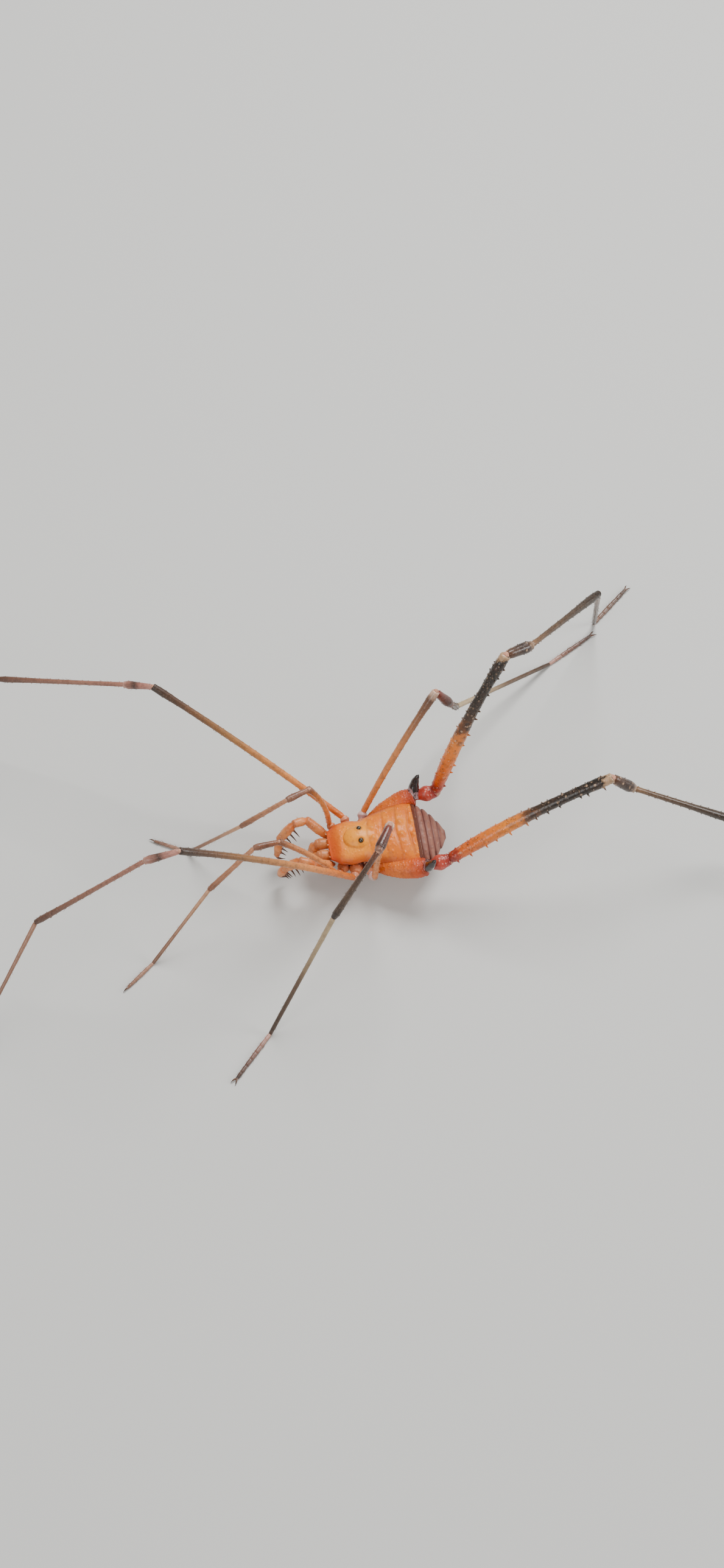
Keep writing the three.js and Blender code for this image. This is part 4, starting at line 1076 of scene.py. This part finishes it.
def build_leg(name, finishes, soft, claw_skin, sizes):
    """One leg: its six pieces with their spines and hairs, the soft skin between them, and claws."""
    pair, side = int(name.split("_")[1]), SIDES[name.split("_")[2]]
    hind = pair == 4
    joints = leg_joints(name)
    seed = pair * 10 + (1 if side > 0 else 2)
    folds = Surface()
    for i, piece in enumerate(PIECES):
        start, end = joints[i : i + 2]
        length, way = np.linalg.norm(end - start), unit(end - start)
        profile = PROFILES[pair, piece]
        thick = profile[len(profile) // 2][1]
        rows = {"femur": 300 if hind else 200, "trochanter": 60, "patella": 80}.get(piece, 150)
        sides = max(20, int(thick * 110))
        hind_femur = hind and piece == "femur"
        rough = (0.2, 0.035, 0.4, seed, 0.35) if hind_femur else ROUGH.get(piece)
        bow = FEMUR_BOW[pair] if piece == "femur" else 0.0
        s = Surface()
        pinches = 7 if piece == "tarsus" else 0
        skin = segment(s, start, end, profile, rows, sides, bow=bow, rough=rough, rings=pinches)
        if hind_femur:
            spines = [(angle * side, *rest) for angle, *rest in FEMUR_SPINES]
            for angle, count, high, wide in (*spines, *FEMUR_WARTS):
                roots, ways, shares = rows_on(skin, angle, count, 0.06, 0.95, seed)
                heights = high * (0.7 + 0.6 * hashed(np.arange(count), angle, 3))
                s.spikes(roots, unit(ways + 0.25 * way), heights, wide, shares, sides=10, sunk=0.6)
        elif piece in ("femur", "patella", "tibia"):
            for angle in (40, -40, 110, -110, 160, -160):
                roots, ways, shares = rows_on(skin, angle, int(length * 1.3), 0.05, 0.95, seed + i, 14)
                s.spikes(roots, unit(ways + 0.4 * way), 0.09 if hind else 0.06, 0.045, shares, sunk=0.6)
        if piece in HAIRS:
            per, share, lean = HAIRS[piece]
            hairs(s, skin, int(length * per), sizes.hair_length * share, seed + i, lean)
        slot = "hind_femur" if hind_femur else SLOT_OF[piece]
        s.finish(f"{name}_{piece}_skin", finishes[pair, piece], slot, f"{name}_{NODE_OF.get(piece, piece)}")
        if i:
            size = min(PROFILES[pair, PIECES[i - 1]][-1][1], profile[0][1]) * 0.92
            ball(folds, start, (size, size, size * 1.15), 26, 26, end - joints[i - 1], ripple=0.03)
    folds.finish(f"{name}_joint_skin", soft, SLOT_OF["trochanter"])
    claws = Surface()
    toe = unit(joints[6] - joints[5])
    across = np.array([-toe[1], toe[0], 0])
    a = joints[6] - toe * 0.12
    for edge in (0,) if pair < 3 else (-1, 1):
        c = joints[6] + toe * 0.45 + across * edge * 0.2 + np.array([0, 0, -0.06])
        b = (a + c) / 2 + np.array([0, 0, 0.16]) + across * edge * 0.05
        horn(claws, a, b, c, ((0, 0.075), (0.5, 0.055), (1, 0.01)), 18, 10)
    claws.finish(f"{name}_claws", claw_skin, "foot_cuticle", f"{name}_foot")


# Stage


def build_floor(looks):
    """A pale square under the animal."""
    mesh = bpy.data.meshes.new("floor")
    corners = [(x * FLOOR_HALF, y * FLOOR_HALF, 0) for x, y in ((-1, -1), (1, -1), (1, 1), (-1, 1))]
    mesh.from_pydata(corners, [], [(0, 1, 2, 3)])
    f = Finish("floor_pale")
    f.feed(f.shader.inputs["Base Color"], tuple(looks.floor) + (1.0,))
    f.feed(f.shader.inputs["Roughness"], 0.7)
    mesh.materials.append(f.material)
    show("floor", mesh)


def build_lights(main_power):
    """A dim warm world, and square lights that face the animal."""
    world = bpy.data.worlds.new("studio")
    bpy.context.scene.world = world
    world.use_nodes = True
    back = world.node_tree.nodes["Background"]
    back.inputs["Color"].default_value = WORLD_COLOUR
    back.inputs["Strength"].default_value = WORLD_STRENGTH
    for name, place, size, share in LIGHTS:
        light = bpy.data.lights.new(name, "AREA")
        light.energy = main_power * share
        light.size = size
        lamp = show(name, light)
        lamp.location = place
        way = -unit(place)
        lamp.rotation_euler = (math.acos(-way[2]), 0, math.atan2(way[1], way[0]) - math.pi / 2)


def build_camera():
    """The camera at CAMERA_DISTANCE from CAMERA_TARGET, with the photo's pitch and turn."""
    pitch, turn = math.radians(CAMERA_PITCH), math.radians(CAMERA_TURN)
    right = np.array([math.sin(turn), math.cos(turn), 0])
    level = np.array([math.cos(turn), -math.sin(turn), 0])
    back = math.cos(pitch) * level + np.array([0, 0, math.sin(pitch)])
    place = (np.array(CAMERA_TARGET) + CAMERA_DISTANCE * back) * MM + MOVE
    data = bpy.data.cameras.new("camera")
    data.lens = CAMERA_LENS
    data.sensor_width = 36
    data.clip_start = 0.01
    data.clip_end = 20
    camera = show("camera", data)
    matrix = np.eye(4)
    matrix[:3] = np.stack([right, np.cross(back, right), back, place], -1)
    camera.matrix_world = Matrix(matrix)
    bpy.context.scene.camera = camera


# Add-on


class HarvestmanSizes(bpy.types.PropertyGroup):
    grain_height: FloatProperty(
        name="Grain height", description="Height of the shield's fine grains, in millimetres",
        default=0.028, min=0.0, max=0.1,
    )
    hair_length: FloatProperty(
        name="Hair length", description="Length of the leg hairs, in millimetres",
        default=0.2, min=0.05, max=0.6,
    )
    light_power: FloatProperty(
        name="Light power", description="Power of the main studio light, in watts",
        default=1.35, min=0.0, unit="POWER",
    )


class HarvestmanColours(bpy.types.PropertyGroup):
    shield: FloatVectorProperty(
        name="Shield", description="Orange of the back shield",
        subtype="COLOR", size=3, default=rgb(232, 118, 10)[:3],
    )
    mound: FloatVectorProperty(
        name="Eye mound", description="Yellow orange of the eye mound",
        subtype="COLOR", size=3, default=rgb(250, 160, 24)[:3],
    )
    rim: FloatVectorProperty(
        name="Rear rim", description="Dark band along the shield's rear edge",
        subtype="COLOR", size=3, default=rgb(62, 24, 28)[:3],
    )
    spur: FloatVectorProperty(
        name="Spur", description="Black of the hind hips' spurs",
        subtype="COLOR", size=3, default=rgb(26, 18, 16)[:3],
    )
    floor: FloatVectorProperty(
        name="Floor", description="Pale floor under the animal",
        subtype="COLOR", size=3, default=(0.62, 0.62, 0.6),
    )


class HARVESTMAN_OT_body(bpy.types.Operator):
    """Builds the shield, eyes, rings of the hind body, belly and hind hips"""

    bl_idname = "harvestman.body"
    bl_label = "Build body"

    def execute(self, context):
        looks, sizes = context.scene.harvestman_colours, context.scene.harvestman_sizes
        build_shield(looks, sizes)
        build_eyes()
        build_rings()
        build_belly()
        build_hind_hips(looks)
        return {"FINISHED"}


class HARVESTMAN_OT_mouthparts(bpy.types.Operator):
    """Builds the jaws and the pedipalps"""

    bl_idname = "harvestman.mouthparts"
    bl_label = "Build mouthparts"

    def execute(self, context):
        build_jaws()
        build_palps()
        return {"FINISHED"}


class HARVESTMAN_OT_legs(bpy.types.Operator):
    """Builds the eight legs with their joint skin, spines, hairs and claws"""

    bl_idname = "harvestman.legs"
    bl_label = "Build legs"

    def execute(self, context):
        finishes = leg_finishes()
        soft = membrane("joint_skin", rgb(206, 150, 122), rgb(150, 96, 78))
        claw_skin = cuticle(
            "claw_skin", ((0, (120, 78, 54)), (1, (40, 26, 20))),
            DARK, rgb(60, 40, 30), mottle=0.2, gloss=0.25, coat=0.3, waxy=0.0,
        )
        for name in POSES:
            build_leg(name, finishes, soft, claw_skin, context.scene.harvestman_sizes)
        return {"FINISHED"}


class HARVESTMAN_OT_stage(bpy.types.Operator):
    """Builds the floor, the studio lights and the camera"""

    bl_idname = "harvestman.stage"
    bl_label = "Build stage"

    def execute(self, context):
        build_floor(context.scene.harvestman_colours)
        build_lights(context.scene.harvestman_sizes.light_power)
        build_camera()
        return {"FINISHED"}


class HARVESTMAN_PT_panel(bpy.types.Panel):
    bl_label = "Harvestman"
    bl_idname = "HARVESTMAN_PT_panel"
    bl_space_type = "VIEW_3D"
    bl_region_type = "UI"
    bl_category = "Harvestman"

    def draw(self, context):
        for group in (context.scene.harvestman_sizes, context.scene.harvestman_colours):
            for key in group.__annotations__:
                self.layout.prop(group, key)
        for operator in OPERATORS:
            self.layout.operator(operator.bl_idname)


OPERATORS = (HARVESTMAN_OT_body, HARVESTMAN_OT_mouthparts, HARVESTMAN_OT_legs, HARVESTMAN_OT_stage)
CLASSES = (HarvestmanSizes, HarvestmanColours, *OPERATORS, HARVESTMAN_PT_panel)


def register():
    for made in CLASSES:
        bpy.utils.register_class(made)
    bpy.types.Scene.harvestman_sizes = PointerProperty(type=HarvestmanSizes)
    bpy.types.Scene.harvestman_colours = PointerProperty(type=HarvestmanColours)


def unregister():
    del bpy.types.Scene.harvestman_sizes
    del bpy.types.Scene.harvestman_colours
    for made in reversed(CLASSES):
        bpy.utils.unregister_class(made)


def main():
    register()
    bpy.ops.harvestman.body()
    bpy.ops.harvestman.mouthparts()
    bpy.ops.harvestman.legs()
    bpy.ops.harvestman.stage()


if __name__ == "__main__":
    main()
